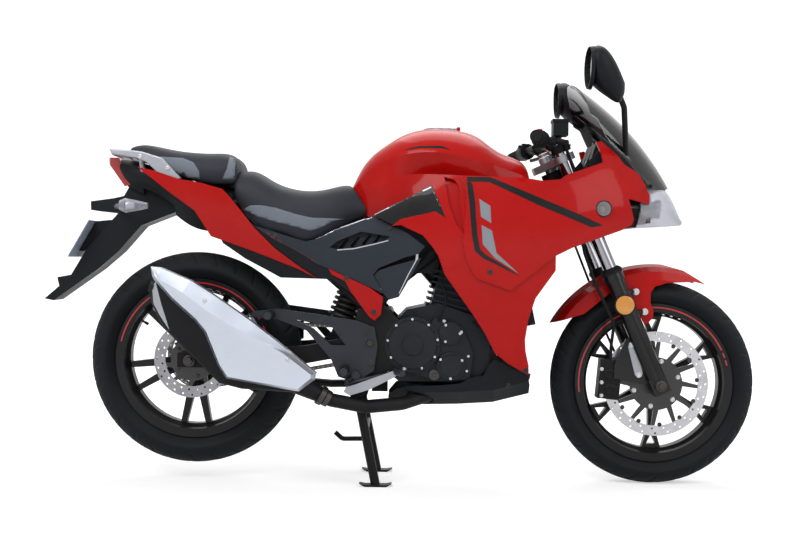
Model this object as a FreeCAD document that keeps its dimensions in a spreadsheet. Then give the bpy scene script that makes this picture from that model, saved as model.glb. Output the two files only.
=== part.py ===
"""Sport motorcycle with a full fairing, parked on its centre stand.

Millimetres, +X forward, +Y to the rider's left, +Z up. The origin is on the floor below the middle of
the machine. Every driving size is a cell of the sheet "dims"; stations named a, along the machine, are
measured from the rear axle, and heights from the floor.
"""
import FreeCAD, Part

import math
import os

import Sketcher
from FreeCAD import Placement, Rotation, Vector

doc = FreeCAD.newDocument("sport_motorcycle")
sheet = doc.addObject("Spreadsheet::Sheet", "dims")

SIZES = {
    # whole machine
    "wheelbase": 1330, "tail_overhang": 442, "front_axle_height": 296, "rear_axle_height": 350,
    "rake": 23.5, "fork_offset": 35, "fit_gap": 0.3,
    # tyres and rims
    "front_tyre_radius": 296, "front_tyre_width": 104, "rear_tyre_radius": 307, "rear_tyre_width": 134,
    "rim_radius": 223, "rim_window_radius": 190, "rim_wall": 7,
    "front_rim_width": 74, "rear_rim_width": 98, "spoke_width": 17, "front_web": 22, "rear_web": 24,
    "pair_offset": 37, "front_hub_radius": 44, "front_hub_length": 117, "rear_hub_radius": 52,
    "rear_hub_length": 153,
    # axles, discs and sprocket
    "front_axle_radius": 10, "rear_axle_radius": 10,
    "front_disc_radius": 150, "front_disc_band": 29, "front_disc_lateral": 62, "disc_thickness": 5,
    "rear_disc_radius": 110, "rear_disc_lateral": 80, "rear_disc_band": 32,
    "disc_carrier_radius": 76, "chain_lateral": 84, "rear_sprocket_radius": 92,
    "front_sprocket_radius": 31, "sprocket_thickness": 6, "roller_radius": 5,
    # fork and steering
    "fork_spread": 98, "fork_tube_radius": 20, "slider_radius": 26, "slider_collar_radius": 30,
    "slider_length": 345, "fork_tube_top": 742, "lower_clamp_at": 510, "upper_clamp_at": 698,
    "clamp_height": 34, "top_clamp_height": 20, "head_tube_radius": 30, "stem_radius": 14,
    # handlebars
    "bar_reach": 318, "bar_radius": 11, "grip_radius": 17, "grip_length": 115,
    "bar_sweep": 12,
    # swingarm
    "pivot_station": 508, "pivot_height": 407, "arm_inner": 98, "arm_thickness": 24,
    # stands
    "stand_pivot_station": 474, "stand_pivot_height": 262, "stand_foot_station": 528,
    "stand_spread": 112, "stand_tube_radius": 13, "side_stand_pivot_station": 533,
    "side_stand_pivot_height": 262, "side_stand_tube_radius": 12,
    # body panels
    "panel": 4, "panel_step": 7, "screen": 4,
    # exhaust
    "pipe_radius": 19,
    # number plate
    "plate_width": 190, "plate_height": 120, "plate_thickness": 2,
}

for row, (alias, value) in enumerate(SIZES.items(), start=1):
    sheet.set(f"A{row}", alias)
    sheet.set(f"B{row}", str(value))
    sheet.setAlias(f"B{row}", alias)
doc.recompute()


class Size:
    """A number and the sheet expression that gives it, so that a sketch or a property can be bound to it."""

    def __init__(self, value, text):
        self.value = float(value)
        self.text = text

    def _pair(self, other):
        return other if isinstance(other, Size) else Size(other, repr(round(float(other), 6)))

    def __add__(self, other):
        other = self._pair(other)
        return Size(self.value + other.value, f"({self.text} + {other.text})")

    def __sub__(self, other):
        other = self._pair(other)
        return Size(self.value - other.value, f"({self.text} - {other.text})")

    def __mul__(self, other):
        other = self._pair(other)
        return Size(self.value * other.value, f"({self.text} * {other.text})")

    def __truediv__(self, other):
        other = self._pair(other)
        return Size(self.value / other.value, f"({self.text} / {other.text})")

    def __radd__(self, other):
        return self._pair(other) + self

    def __rsub__(self, other):
        return self._pair(other) - self

    def __rmul__(self, other):
        return self * other

    def __neg__(self):
        return Size(-self.value, f"(-1 * {self.text})")

    def __float__(self):
        return self.value

    def sqrt(self):
        return Size(math.sqrt(self.value), f"sqrt({self.text})")

    def sin(self):
        return Size(math.sin(math.radians(self.value)), f"sin({self.text} * 1 deg)")

    def cos(self):
        return Size(math.cos(math.radians(self.value)), f"cos({self.text} * 1 deg)")


def dim(alias):
    """A cell of the sheet, as a Size."""
    return Size(sheet.get(alias), f"dims.{alias}")


def mm(alias):
    """A cell of the sheet, as a plain number."""
    return float(sheet.get(alias))


# Places that many pieces share
REAR_X = (dim("tail_overhang") - dim("wheelbase") - dim("front_tyre_radius")) / 2
FRONT_X = REAR_X + dim("wheelbase")
REAR_AXLE = Vector(float(REAR_X), 0, mm("rear_axle_height"))
FRONT_AXLE = Vector(float(FRONT_X), 0, mm("front_axle_height"))
RAKE = math.radians(mm("rake"))
STEER_UP = Vector(-math.sin(RAKE), 0, math.cos(RAKE))
STEER_AHEAD = Vector(math.cos(RAKE), 0, math.sin(RAKE))
STEER_FOOT = FRONT_AXLE - STEER_AHEAD * mm("fork_offset")
LEFT = Vector(0, 1, 0)


def station(a):
    """Forward place of a station measured from the rear axle; the front ones keep to the front axle."""
    return float(REAR_X) + a * mm("wheelbase") / 1330


def at(a, y, z):
    """A point at a station, a lateral and a height."""
    return Vector(station(a), y, z)


def steer(up, ahead=0, left=0):
    """A point of the steering, measured along its axis from the front axle's level."""
    return STEER_FOOT + STEER_UP * up + STEER_AHEAD * ahead + LEFT * left


# Objects of the document

def bind(obj, prop, size):
    """Sets a property, by an expression where the size is named."""
    if isinstance(size, Size):
        obj.setExpression(prop, size.text)
    else:
        setattr(obj, prop, size)


def bind_place(obj, x, y, z):
    """Ties an object's place to three sizes."""
    for axis, size in zip("xyz", (x, y, z)):
        size = size if isinstance(size, Size) else Size(size, repr(float(size)))
        obj.setExpression(f"Placement.Base.{axis}", size.text)


def piece(label, shape):
    """A sub-part whose form is swept or lofted in this file from the sheet's sizes."""
    obj = doc.addObject("Part::Feature", label)
    obj.Label = label
    obj.Shape = shape
    return obj


def new_body(label, x=0, y=0, z=0):
    """An empty body at a place."""
    body = doc.addObject("PartDesign::Body", label)
    body.Label = label
    bind_place(body, x, y, z)
    return body


def origin_plane(body, role):
    """One of the three planes of a body's origin."""
    return next(o for o in body.Origin.OriginFeatures if o.Role == role)


def arc_centre(p, q, radius):
    """Centre of the arc from p to q; a positive radius turns left on the way."""
    half = (q - p) * 0.5
    rise = math.sqrt(max(radius * radius - half.Length ** 2, 0))
    side = Vector(-half.y, half.x, 0).normalize() * (1 if radius > 0 else -1)
    return p + half + side * rise


def draw_loop(sketch, path):
    """A closed loop: path is (x, y) or, for an arc that ends there, (x, y, radius), as Sizes or numbers."""
    count = len(path)
    ends = [Vector(float(p[0]), float(p[1]), 0) for p in path]
    joints = []
    for i, p in enumerate(path):
        start, end = ends[i - 1], ends[i]
        if len(p) == 3:
            centre = arc_centre(start, end, float(p[2]))
            circle = Part.Circle(centre, Vector(0, 0, 1), abs(float(p[2])))
            first, last = circle.parameter(start), circle.parameter(end)
            if float(p[2]) < 0:
                first, last = last, first
            if last <= first:
                last += 2 * math.pi
            geo = sketch.addGeometry(Part.ArcOfCircle(circle, first, last))
            joints.append((geo, 1, 2) if float(p[2]) > 0 else (geo, 2, 1))
            if isinstance(p[2], Size):
                size = p[2] if float(p[2]) > 0 else -p[2]
                bound = sketch.addConstraint(Sketcher.Constraint("Radius", geo, float(size)))
                sketch.setExpression(f"Constraints[{bound}]", size.text)
            else:
                sketch.addConstraint(Sketcher.Constraint("Radius", geo, abs(p[2])))
        else:
            geo = sketch.addGeometry(Part.LineSegment(start, end))
            joints.append((geo, 1, 2))
    for i in range(count):
        geo, _, end = joints[i]
        following, start, _ = joints[(i + 1) % count]
        sketch.addConstraint(Sketcher.Constraint("Coincident", geo, end, following, start))
        for kind, size in zip(("DistanceX", "DistanceY"), path[i][:2]):
            bound = sketch.addConstraint(Sketcher.Constraint(kind, -1, 1, geo, end, float(size)))
            if isinstance(size, Size):
                sketch.setExpression(f"Constraints[{bound}]", size.text)


def draw(body, name, plane, path=(), circles=(), holes=()):
    """A sketch on an origin plane: an outer loop, circles as (x, y, radius), and inner loops."""
    sketch = body.newObject("Sketcher::SketchObject", name)
    sketch.AttachmentSupport = (origin_plane(body, plane), [""])
    sketch.MapMode = "FlatFace"
    for loop in ([path] if path else []) + list(holes):
        draw_loop(sketch, loop)
    for x, y, radius in circles:
        geo = sketch.addGeometry(Part.Circle(Vector(float(x), float(y), 0), Vector(0, 0, 1), float(radius)))
        for kind, size, where in (("DistanceX", x, (geo, 3)), ("DistanceY", y, (geo, 3))):
            bound = sketch.addConstraint(Sketcher.Constraint(kind, -1, 1, *where, float(size)))
            if isinstance(size, Size):
                sketch.setExpression(f"Constraints[{bound}]", size.text)
        bound = sketch.addConstraint(Sketcher.Constraint("Radius", geo, float(radius)))
        if isinstance(radius, Size):
            sketch.setExpression(f"Constraints[{bound}]", radius.text)
    return sketch


def revolve(body, name, path):
    """A ring about the lateral axis: path is (lateral, radius)."""
    sketch = draw(body, name + "_profile", "YZ_Plane", path)
    turned = body.newObject("PartDesign::Revolution", name)
    turned.Profile = sketch
    turned.ReferenceAxis = (sketch, ["H_Axis"])
    turned.Angle = 360
    return turned


def pad(body, name, path, length, circles=(), holes=(), plane="XZ_Plane", middle=True):
    """Material along a profile's normal."""
    sketch = draw(body, name + "_profile", plane, path, circles, holes)
    made = body.newObject("PartDesign::Pad", name)
    made.Profile = sketch
    bind(made, "Length", length)
    made.Midplane = middle
    return made


def pocket(body, name, path, length, circles=(), plane="XZ_Plane"):
    """A cut through both sides of a profile."""
    sketch = draw(body, name + "_profile", plane, path, circles)
    made = body.newObject("PartDesign::Pocket", name)
    made.Profile = sketch
    bind(made, "Length", length)
    made.Midplane = True
    return made


def pattern(body, name, feature, count):
    """Copies of a feature about the normal of its own sketch."""
    made = body.newObject("PartDesign::PolarPattern", name)
    made.Originals = [feature]
    made.Axis = (feature.Profile[0], ["N_Axis"])
    made.Angle = 360
    made.Occurrences = count
    body.Tip = made
    return made


# Forms that are swept and lofted

def tube(path, radius, bend=None, inner=0):
    """A round tube along straight runs joined by tangent arcs."""
    wire = bent_path(path, bend if bend is not None else radius * 3)
    first = path[1] - path[0]
    profile = Part.Wire(Part.makeCircle(radius, path[0], first))
    solid = wire.makePipeShell([profile], True, False)
    if inner:
        bore_profile = Part.Wire(Part.makeCircle(inner, path[0], first))
        solid = solid.cut(wire.makePipeShell([bore_profile], True, False))
    return solid


def bent_path(path, bend):
    """A wire of straight runs with a tangent arc at each corner."""
    edges, start = [], path[0]
    for before, corner, after in zip(path, path[1:], path[2:]):
        u, v = (before - corner), (after - corner)
        room = 0.45 * min(u.Length, v.Length)
        turn = math.pi - u.getAngle(v)
        back = min(bend * math.tan(turn / 2), room)
        u.normalize()
        v.normalize()
        if turn < 0.01:
            continue
        p, q = corner + u * back, corner + v * back
        radius = back / math.tan(turn / 2)
        centre = corner + (u + v).normalize() * (radius / math.cos(turn / 2))
        middle = centre + (corner - centre).normalize() * radius
        edges.append(Part.LineSegment(start, p).toShape())
        edges.append(Part.Arc(p, middle, q).toShape())
        start = q
    edges.append(Part.LineSegment(start, path[-1]).toShape())
    return Part.Wire(edges)


def rod(p, q, radius):
    """A round bar between two points."""
    return Part.makeCylinder(radius, (q - p).Length, p, q - p)


def side_prism(points, inner, outer):
    """The side outline of stations and heights, as thick as from lateral inner to lateral outer."""
    corners = [at(a, inner, z) for a, z in points]
    face = Part.Face(Part.makePolygon(corners + corners[:1]))
    return face.extrude(Vector(0, outer - inner, 0))


def run_edge(points):
    """A straight edge or a smooth curve through points."""
    if len(points) == 2:
        return Part.LineSegment(*points).toShape()
    curve = Part.BSplineCurve()
    curve.interpolate(points)
    return curve.toShape()


def whole_section(a, corners, crown):
    """A closed section at a station, the same on both sides: straight runs through the corners, from the
    outer bottom up to the crown's edge, then one smooth curve over the top to the other side."""
    left = [at(a, y, z) for y, z in corners]
    right = [at(a, -y, z) for y, z in corners]
    over = [at(a, y, z) for y, z in crown]
    over += [at(a, -y, z) for y, z in reversed(crown[:-1])]
    edges = [Part.LineSegment(right[0], left[0]).toShape()]
    edges += [Part.LineSegment(p, q).toShape() for p, q in zip(left, left[1:])]
    edges.append(run_edge([left[-1]] + over + [right[-1]]))
    edges += [Part.LineSegment(p, q).toShape() for p, q in zip(right[::-1], right[-2::-1])]
    return Part.Wire(edges)


def loft(sections, ruled=False):
    """A solid through closed sections."""
    return Part.makeLoft(sections, True, ruled)


def mirrored(shape):
    """The same shape on the bike's other side."""
    return shape.mirror(Vector(0, 0, 0), LEFT)


def moved(shape, x, y, z):
    """A shifted copy."""
    copy = shape.copy()
    copy.translate(Vector(x, y, z))
    return copy


def largest(shape):
    """The biggest solid that a cut leaves."""
    return max(shape.Solids, key=lambda s: s.Volume)


def both_sides(right):
    """The right-hand solids and their mirror images, as one node."""
    return Part.makeCompound([right, mirrored(right)])


def fused(shapes):
    """One solid of several, with its seams removed where that stays valid."""
    whole = shapes[0].multiFuse(shapes[1:]) if len(shapes) > 1 else shapes[0]
    tidy = whole.removeSplitter()
    return tidy if tidy.isValid() else whole


def skin(sections, thickness, smooth=True):
    """The right-hand side of a panel, from sections of a station and its points on the outer face."""
    wires = []
    for a, points in sections:
        inside = []
        for i, (y, z) in enumerate(points):
            before, after = points[max(i - 1, 0)], points[min(i + 1, len(points) - 1)]
            run = math.hypot(after[0] - before[0], after[1] - before[1])
            inside.append((y + thickness * (after[1] - before[1]) / run,
                           z - thickness * (after[0] - before[0]) / run))
        outer = [at(a, y, z) for y, z in points]
        inner = [at(a, y, z) for y, z in reversed(inside)]
        if smooth:
            edges = [run_edge(outer), run_edge([outer[-1], inner[0]]), run_edge(inner),
                     run_edge([inner[-1], outer[0]])]
            wires.append(Part.Wire(edges))
        else:
            wires.append(Part.makePolygon(outer + inner + outer[:1]))
    return Part.makeLoft(wires, True, not smooth)


def prism(points, inner, outer):
    """A side outline of vectors, thick from one lateral to another."""
    corners = [Vector(p.x, inner, p.z) for p in points]
    return Part.Face(Part.makePolygon(corners + corners[:1])).extrude(Vector(0, outer - inner, 0))


def boss(a, z, inner, panels, radius=7):
    """A right-hand peg that runs out from lateral inner as far as the nearest of the panels."""
    peg = Part.makeCylinder(radius, 260, at(a, inner, z), -LEFT)
    for other in panels:
        peg = max(peg.cut(other).Solids, key=lambda s: s.CenterOfMass.y)
    return peg


# Side skins that the panels are cut from, right-hand side

FAIRING_SKIN = [
    (470, [(-132, 500), (-146, 560), (-158, 620), (-168, 680), (-172, 740), (-166, 800), (-144, 860)]),
    (540, [(-150, 500), (-162, 560), (-176, 620), (-186, 680), (-190, 740), (-184, 800), (-160, 860)]),
    (640, [(-140, 380), (-160, 470), (-182, 560), (-198, 650), (-206, 740), (-202, 820), (-178, 890)]),
    (760, [(-140, 290), (-162, 400), (-188, 520), (-210, 640), (-220, 750), (-212, 840), (-180, 920)]),
    (880, [(-142, 280), (-166, 390), (-192, 510), (-216, 640), (-228, 750), (-216, 850), (-176, 930)]),
    (1000, [(-146, 280), (-166, 390), (-190, 510), (-214, 640), (-226, 750), (-210, 860), (-166, 950)]),
    (1100, [(-140, 420), (-156, 500), (-178, 590), (-202, 690), (-212, 770), (-196, 870), (-150, 970)]),
    (1180, [(-120, 560), (-142, 620), (-166, 680), (-184, 740), (-190, 800), (-170, 880), (-130, 990)]),
    (1250, [(-92, 620), (-118, 670), (-140, 715), (-154, 760), (-156, 810), (-140, 870), (-104, 960)]),
    (1320, [(-56, 660), (-80, 700), (-100, 735), (-112, 770), (-112, 810), (-98, 860), (-62, 930)]),
]
TAIL_SKIN = [
    (-300, [(-40, 760), (-56, 800), (-68, 840), (-76, 880), (-78, 920), (-70, 960)]),
    (-180, [(-60, 700), (-82, 760), (-98, 810), (-106, 860), (-108, 910), (-100, 960)]),
    (-40, [(-78, 620), (-104, 700), (-122, 770), (-132, 830), (-134, 890), (-122, 950)]),
    (110, [(-90, 560), (-118, 650), (-138, 730), (-148, 790), (-148, 850), (-130, 920)]),
    (250, [(-100, 500), (-128, 590), (-148, 670), (-158, 740), (-156, 800), (-134, 870)]),
    (400, [(-116, 440), (-142, 530), (-160, 610), (-166, 690), (-158, 760), (-128, 850)]),
    (580, [(-140, 420), (-158, 510), (-172, 590), (-180, 670), (-178, 750), (-150, 850)]),
    (700, [(-150, 420), (-164, 510), (-176, 590), (-184, 670), (-182, 750), (-154, 850)]),
]
fairing_skin = skin(FAIRING_SKIN, mm("panel"))
tail_skin = skin(TAIL_SKIN, mm("panel"))

FAIRING_OUTLINE = [
    (691, 877), (924, 872), (976, 864), (1027, 869), (1041, 881), (1097, 901), (1132, 914), (1149, 921),
    (1146, 942), (1133, 979), (1147, 982), (1195, 943), (1214, 917), (1252, 897), (1276, 864), (1291, 832),
    (1287, 806), (1221, 820), (1238, 763), (1232, 747), (1199, 731), (1148, 713), (1060, 681), (1016, 659),
    (1017, 618), (996, 588), (964, 541), (946, 481), (939, 424), (942, 391), (952, 352), (953, 324),
    (895, 356), (857, 385), (828, 440), (794, 491), (747, 556), (713, 602), (694, 654), (679, 677),
    (651, 710), (589, 738), (566, 735), (589, 754), (684, 776), (713, 758), (675, 851),
]
RAISED_OUTLINE = [
    (748, 900), (764, 846), (768, 790), (760, 700), (772, 640), (797, 595), (893, 561), (919, 583),
    (1016, 659), (1060, 681), (1148, 713), (1199, 731), (1260, 745), (1260, 840), (1310, 900), (1200, 1010),
    (1090, 1010),
]
SCOOP_OUTLINE = [(708, 872), (736, 864), (750, 842), (752, 800), (764, 716), (742, 742), (722, 792)]
LINER_OUTLINE = [
    (70, 716), (160, 742), (178, 735), (300, 668), (412, 612), (470, 570), (510, 500), (460, 540), (400, 585),
    (253, 587), (201, 614), (152, 639), (88, 682),
]
INNER_COVER_OUTLINE = [
    (530, 611), (560, 622), (648, 648), (620, 596), (587, 538), (560, 530), (545, 546), (517, 598),
]
TAIL_OUTLINE = [
    (-158, 895), (-113, 885), (-33, 860), (26, 851), (89, 833), (115, 805), (143, 772), (178, 728),
    (237, 670), (297, 626), (357, 587), (298, 615), (238, 637), (163, 665), (54, 701), (39, 725), (8, 773),
    (-66, 825),
]
COVER_OUTLINE = [
    (178, 732), (238, 692), (298, 663), (358, 627), (407, 609), (504, 566), (545, 546), (515, 599),
    (530, 618), (603, 649), (640, 659), (658, 680), (609, 716), (568, 735), (512, 763), (423, 732),
    (357, 698), (327, 689), (297, 697), (218, 721),
]
LOUVRE_OUTLINE = [(392, 674), (412, 690), (479, 719), (560, 706), (548, 696), (460, 674), (414, 669)]
HEEL_OUTLINE = [
    (389, 615), (504, 564), (543, 538), (538, 489), (520, 470), (505, 481), (453, 550), (437, 580),
    (400, 598),
]
TANK_SIDE_OUTLINE = [(514, 765), (673, 846), (700, 791), (712, 758), (688, 766), (590, 736), (568, 737)]

# Wheels


def wheel_tyre(label, x, z, radius, width, rim_width):
    """A hollow tyre with a round crown and open beads."""
    body = new_body(label, x, 0, z)
    half, crown = width / 2, width * 0.36
    bead = rim_width / 2 - dim("rim_wall") - dim("fit_gap")
    seat = dim("rim_radius") - 7 + dim("fit_gap")
    shoulder, wall = radius - crown, Size(9, "9")
    edge = dim("rim_radius") + 7
    bend = (half * half + crown * crown) / (crown * 2)
    deep = crown - 4
    inside = ((half - wall) * (half - wall) + deep * deep) / (deep * 2)
    revolve(body, label + "_carcass", [
        (-bead, seat), (-bead, edge), (-half, shoulder - 10), (-half, shoulder), (half, shoulder, -bend),
        (half, shoulder - 10), (bead, edge), (bead, seat), (bead - wall, seat),
        (bead - wall, edge + 4), (half - wall, shoulder - 8), (wall - half, shoulder - 8, inside),
        (wall - bead, edge + 4), (wall - bead, seat),
    ])
    return body


def wheel_rim(label, x, z, rim_width, hub_radius, hub_length, axle_radius, hub_lateral=0):
    """The drop-centre barrel and the bored hub of a cast wheel."""
    body = new_body(label, x, 0, z)
    half, wall, seat = rim_width / 2, dim("rim_wall"), dim("rim_radius") - 7
    well = seat - 14
    edge = dim("rim_radius") + 6
    revolve(body, label + "_barrel", [
        (-half, edge), (wall - half - 1, edge), (wall - half, seat), (-half + 20, seat - 1), (-14, well),
        (14, well), (half - 20, seat - 1), (half - wall, seat), (half - wall + 1, edge), (half, edge),
        (half, edge - 24), (half - 12, edge - 27), (16, well - wall - 2), (-16, well - wall - 2),
        (12 - half, edge - 27), (-half, edge - 24),
    ])
    bore = axle_radius + 0.1
    revolve(body, label + "_hub", [
        (-hub_length / 2, bore), (-hub_length / 2, hub_radius * 0.62),
        (-hub_length / 2 + 12, hub_radius * 0.7),
        (-hub_length * 0.3, hub_radius), (hub_length * 0.3, hub_radius),
        (hub_length / 2 - 12, hub_radius * 0.7), (hub_length / 2, hub_radius * 0.62), (hub_length / 2, bore),
    ])
    return body


wheel_tyre("front_tyre", FRONT_X, dim("front_axle_height"), dim("front_tyre_radius"), dim("front_tyre_width"),
           dim("front_rim_width"))
wheel_tyre("rear_tyre", REAR_X, dim("rear_axle_height"), dim("rear_tyre_radius"), dim("rear_tyre_width"),
           dim("rear_rim_width"))

front_rim = wheel_rim("front_rim", FRONT_X, dim("front_axle_height"), dim("front_rim_width"),
                      dim("front_hub_radius"), dim("front_hub_length"), dim("front_axle_radius"))
spoke = dim("spoke_width") / 2
top = dim("rim_window_radius") + 6
spokes = pad(front_rim, "front_spokes", [
    (-spoke * 1.25, -(dim("front_hub_radius") - 8)), (-spoke, -(top - 66)), (-spoke * 3.4, -top),
    (spoke * 3.4, -top), (spoke, -(top - 66)), (spoke * 1.25, -(dim("front_hub_radius") - 8)),
], dim("front_web"), holes=[[(0, -(top - 44)), (-spoke * 1.7, -(top - 14)), (spoke * 1.7, -(top - 14))]])
pattern(front_rim, "front_spoke_ring", spokes, 6)

rear_rim = wheel_rim("rear_rim", REAR_X, dim("rear_axle_height"), dim("rear_rim_width"),
                     dim("rear_hub_radius"), dim("rear_hub_length"), dim("rear_axle_radius"))
lean = dim("pair_offset")
spokes = pad(rear_rim, "rear_spokes", [
    (-spoke * 2.1, -(dim("rear_hub_radius") - 8)), (-lean - spoke, -top), (-lean + spoke, -top),
    (0, -(dim("rear_hub_radius") + 30)), (lean - spoke, -top), (lean + spoke, -top),
    (spoke * 2.1, -(dim("rear_hub_radius") - 8)),
], dim("rear_web"))
pattern(rear_rim, "rear_spoke_ring", spokes, 5)

# Discs and rear sprocket


def brake_disc(label, x, z, lateral, radius, band, carrier, arms, bore):
    """A drilled friction ring on slanted arms of its carrier."""
    body = new_body(label, x, -lateral, z)
    thickness = dim("disc_thickness")
    pad(body, label + "_ring", [], thickness, circles=[(0, 0, radius), (0, 0, radius - band)])
    pad(body, label + "_carrier", [], thickness + 2, circles=[(0, 0, carrier), (0, 0, bore)])
    arm = pad(body, label + "_arm", [
        (-10, carrier - 6), (3, radius - band + 3), (13, radius - band + 3), (6, carrier - 6),
    ], thickness)
    pattern(body, label + "_arms", arm, arms)
    hole = pocket(body, label + "_vent", [], thickness * 3,
                  circles=[(0, radius - band / 4, 3), (9, radius - band * 0.72, 3)])
    pattern(body, label + "_vents", hole, 24)
    return body


brake_disc("front_disc", FRONT_X, dim("front_axle_height"), dim("front_disc_lateral"),
           dim("front_disc_radius"), dim("front_disc_band"), dim("disc_carrier_radius"), 12,
           dim("front_axle_radius") + 6)
brake_disc("rear_disc", REAR_X, dim("rear_axle_height"), dim("rear_disc_lateral"), dim("rear_disc_radius"),
           dim("rear_disc_band"), dim("disc_carrier_radius") * 0.82, 10, dim("rear_axle_radius") + 6)

sprocket = new_body("rear_sprocket", REAR_X, dim("chain_lateral"), dim("rear_axle_height"))
pad(sprocket, "sprocket_plate", [], dim("sprocket_thickness"),
    circles=[(0, 0, dim("rear_sprocket_radius") - 5), (0, 0, dim("rear_axle_radius") + 6)])
tooth = pad(sprocket, "sprocket_tooth", [
    (-5.5, dim("rear_sprocket_radius") - 8), (-2, dim("rear_sprocket_radius")),
    (2, dim("rear_sprocket_radius")), (5.5, dim("rear_sprocket_radius") - 8),
], dim("sprocket_thickness") - 1)
pattern(sprocket, "sprocket_teeth", tooth, 36)
window = pocket(sprocket, "sprocket_window", [], 30, circles=[(0, dim("rear_sprocket_radius") * 0.66, 14)])
pattern(sprocket, "sprocket_windows", window, 6)
boss_gap = dim("chain_lateral") - dim("rear_hub_length") / 2
pad(sprocket, "sprocket_seat", [], boss_gap * 2 - 0.2,
    circles=[(0, 0, 34), (0, 0, dim("rear_axle_radius") + 6)])

# Fork, yokes and front axle

spread = mm("fork_spread")
offset = mm("fork_offset")


def yoke(up, height, front, back):
    """A fork yoke around the stem and both legs, flat across the steering axis."""
    middle = rod(steer(up - height / 2), steer(up + height / 2), mm("head_tube_radius"))
    ends = [rod(steer(up - height / 2, offset, y), steer(up + height / 2, offset, y),
                mm("fork_tube_radius") + 11) for y in (-spread, spread)]
    corners = [(-back, -26), (offset - 14, -spread), (offset + 14, -spread), (offset + front, -30),
               (offset + front, 30), (offset + 14, spread), (offset - 14, spread), (-back, 26)]
    low = [steer(up - height / 2, x, y) for x, y in corners]
    web = Part.Face(Part.makePolygon(low + low[:1])).extrude(STEER_UP * height)
    holes = [rod(steer(up - 40, offset, y), steer(up + 40, offset, y), mm("fork_tube_radius"))
             for y in (-spread, spread)]
    return fused([middle, web] + ends).cut(Part.makeCompound(holes))


stem = rod(steer(mm("lower_clamp_at") - 20), steer(mm("upper_clamp_at") + 22), mm("stem_radius"))
stem_nut = rod(steer(mm("upper_clamp_at") + 10), steer(mm("upper_clamp_at") + 26), 20)
lower_yoke = yoke(mm("lower_clamp_at"), mm("clamp_height"), 8, 16)
upper_yoke = yoke(mm("upper_clamp_at"), mm("top_clamp_height"), 0, 46)
piece("fork_yokes", fused([lower_yoke, upper_yoke, stem, stem_nut]))

tubes = []
for y in (-spread, spread):
    tube_top = mm("fork_tube_top")
    tubes.append(rod(steer(mm("slider_length") - 120, offset, y), steer(tube_top, offset, y),
                     mm("fork_tube_radius")))
    cap = rod(steer(tube_top, offset, y), steer(tube_top + 10, offset, y), mm("fork_tube_radius") - 3)
    tubes[-1] = fused([tubes[-1], cap])
piece("fork_tubes", Part.makeCompound(tubes))

sliders = []
for y in (-spread, spread):
    bottom = steer(-12, offset, y)
    leg = rod(bottom, steer(mm("slider_length"), offset, y), mm("slider_radius"))
    collar = rod(steer(mm("slider_length") - 24, offset, y), steer(mm("slider_length"), offset, y),
                 mm("slider_collar_radius"))
    foot = Part.makeBox(48, 40, 50, Vector(-24, -20, -25))
    foot.Placement = Placement(steer(0, offset, y), Rotation(LEFT, -mm("rake")))
    leg = fused([leg, collar, foot])
    hollow = rod(steer(mm("slider_length") - 122, offset, y), steer(mm("slider_length") + 5, offset, y),
                 mm("fork_tube_radius"))
    sliders.append(leg.cut(hollow))
axle_hole = rod(FRONT_AXLE - LEFT * 200, FRONT_AXLE + LEFT * 200, mm("front_axle_radius"))
caliper_arm = side_prism([(1286, 440), (1236, 425), (1204, 350), (1204, 312), (1290, 296), (1322, 310)],
                         -92, -85)
sliders[0] = fused([sliders[0], caliper_arm])
guard_half = 66
for i, s in enumerate((-1, 1)):
    lugs = []
    for a, z in ((1264, 560), (1290, 503)):
        lugs.append(rod(at(a, s * guard_half, z), at(a, s * (guard_half + 14), z), 9))
        leg_point = at(1330 - (z - 296) * math.tan(RAKE), s * spread, z - 4)
        lugs.append(rod(at(a, s * (guard_half + 8), z), leg_point, 6))
    tube_room = rod(steer(223, offset, s * spread), steer(400, offset, s * spread), mm("fork_tube_radius"))
    sliders[i] = fused([sliders[i]] + lugs).cut(tube_room)
piece("fork_sliders", Part.makeCompound([s.cut(axle_hole) for s in sliders]))

hub_end = mm("front_hub_length") / 2
reach = spread + 24
axle = rod(FRONT_AXLE - LEFT * reach, FRONT_AXLE + LEFT * reach, mm("front_axle_radius"))
spacer_inner = hub_end + mm("disc_thickness") + 2 + 0.5
spacers = [rod(FRONT_AXLE + LEFT * s * spacer_inner, FRONT_AXLE + LEFT * s * (spread - 20), 15)
           for s in (-1, 1)]
heads = [rod(FRONT_AXLE + LEFT * s * (spread + 20), FRONT_AXLE + LEFT * s * (spread + 32), 16)
         for s in (-1, 1)]
front_axle = fused([axle] + spacers + heads)
front_axle = front_axle.cut(Part.makeCompound([s.cut(axle_hole) for s in sliders]))
piece("front_axle", largest(front_axle))


def caliper_block(radial, half_height, lateral):
    """A block of the caliper, measured out from the axle behind the wheel."""
    block = Part.makeBox(radial[1] - radial[0], lateral[1] - lateral[0], 2 * half_height,
                         Vector(radial[0], lateral[0], -half_height))
    block.Placement = Placement(FRONT_AXLE - LEFT * mm("front_disc_lateral"), Rotation(LEFT, 185))
    return block


disc_edge, disc_half = mm("front_disc_radius"), mm("disc_thickness") / 2
caliper = caliper_block((disc_edge - 44, disc_edge + 18), 56, (-23, 23))
caliper = caliper.cut(caliper_block((disc_edge - 60, disc_edge + 6), 80, (-8.5, 8.5)))
shoes = [caliper_block((disc_edge - 38, disc_edge - 4), 34, side)
         for side in ((-9, -disc_half - 0.4), (disc_half + 0.4, 9))]
caliper = fused([caliper] + shoes).cut(Part.makeCompound(sliders))
piece("front_caliper", largest(caliper))

# Front mudguard: a shell that follows the tyre, with flanges down to the fork

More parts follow.
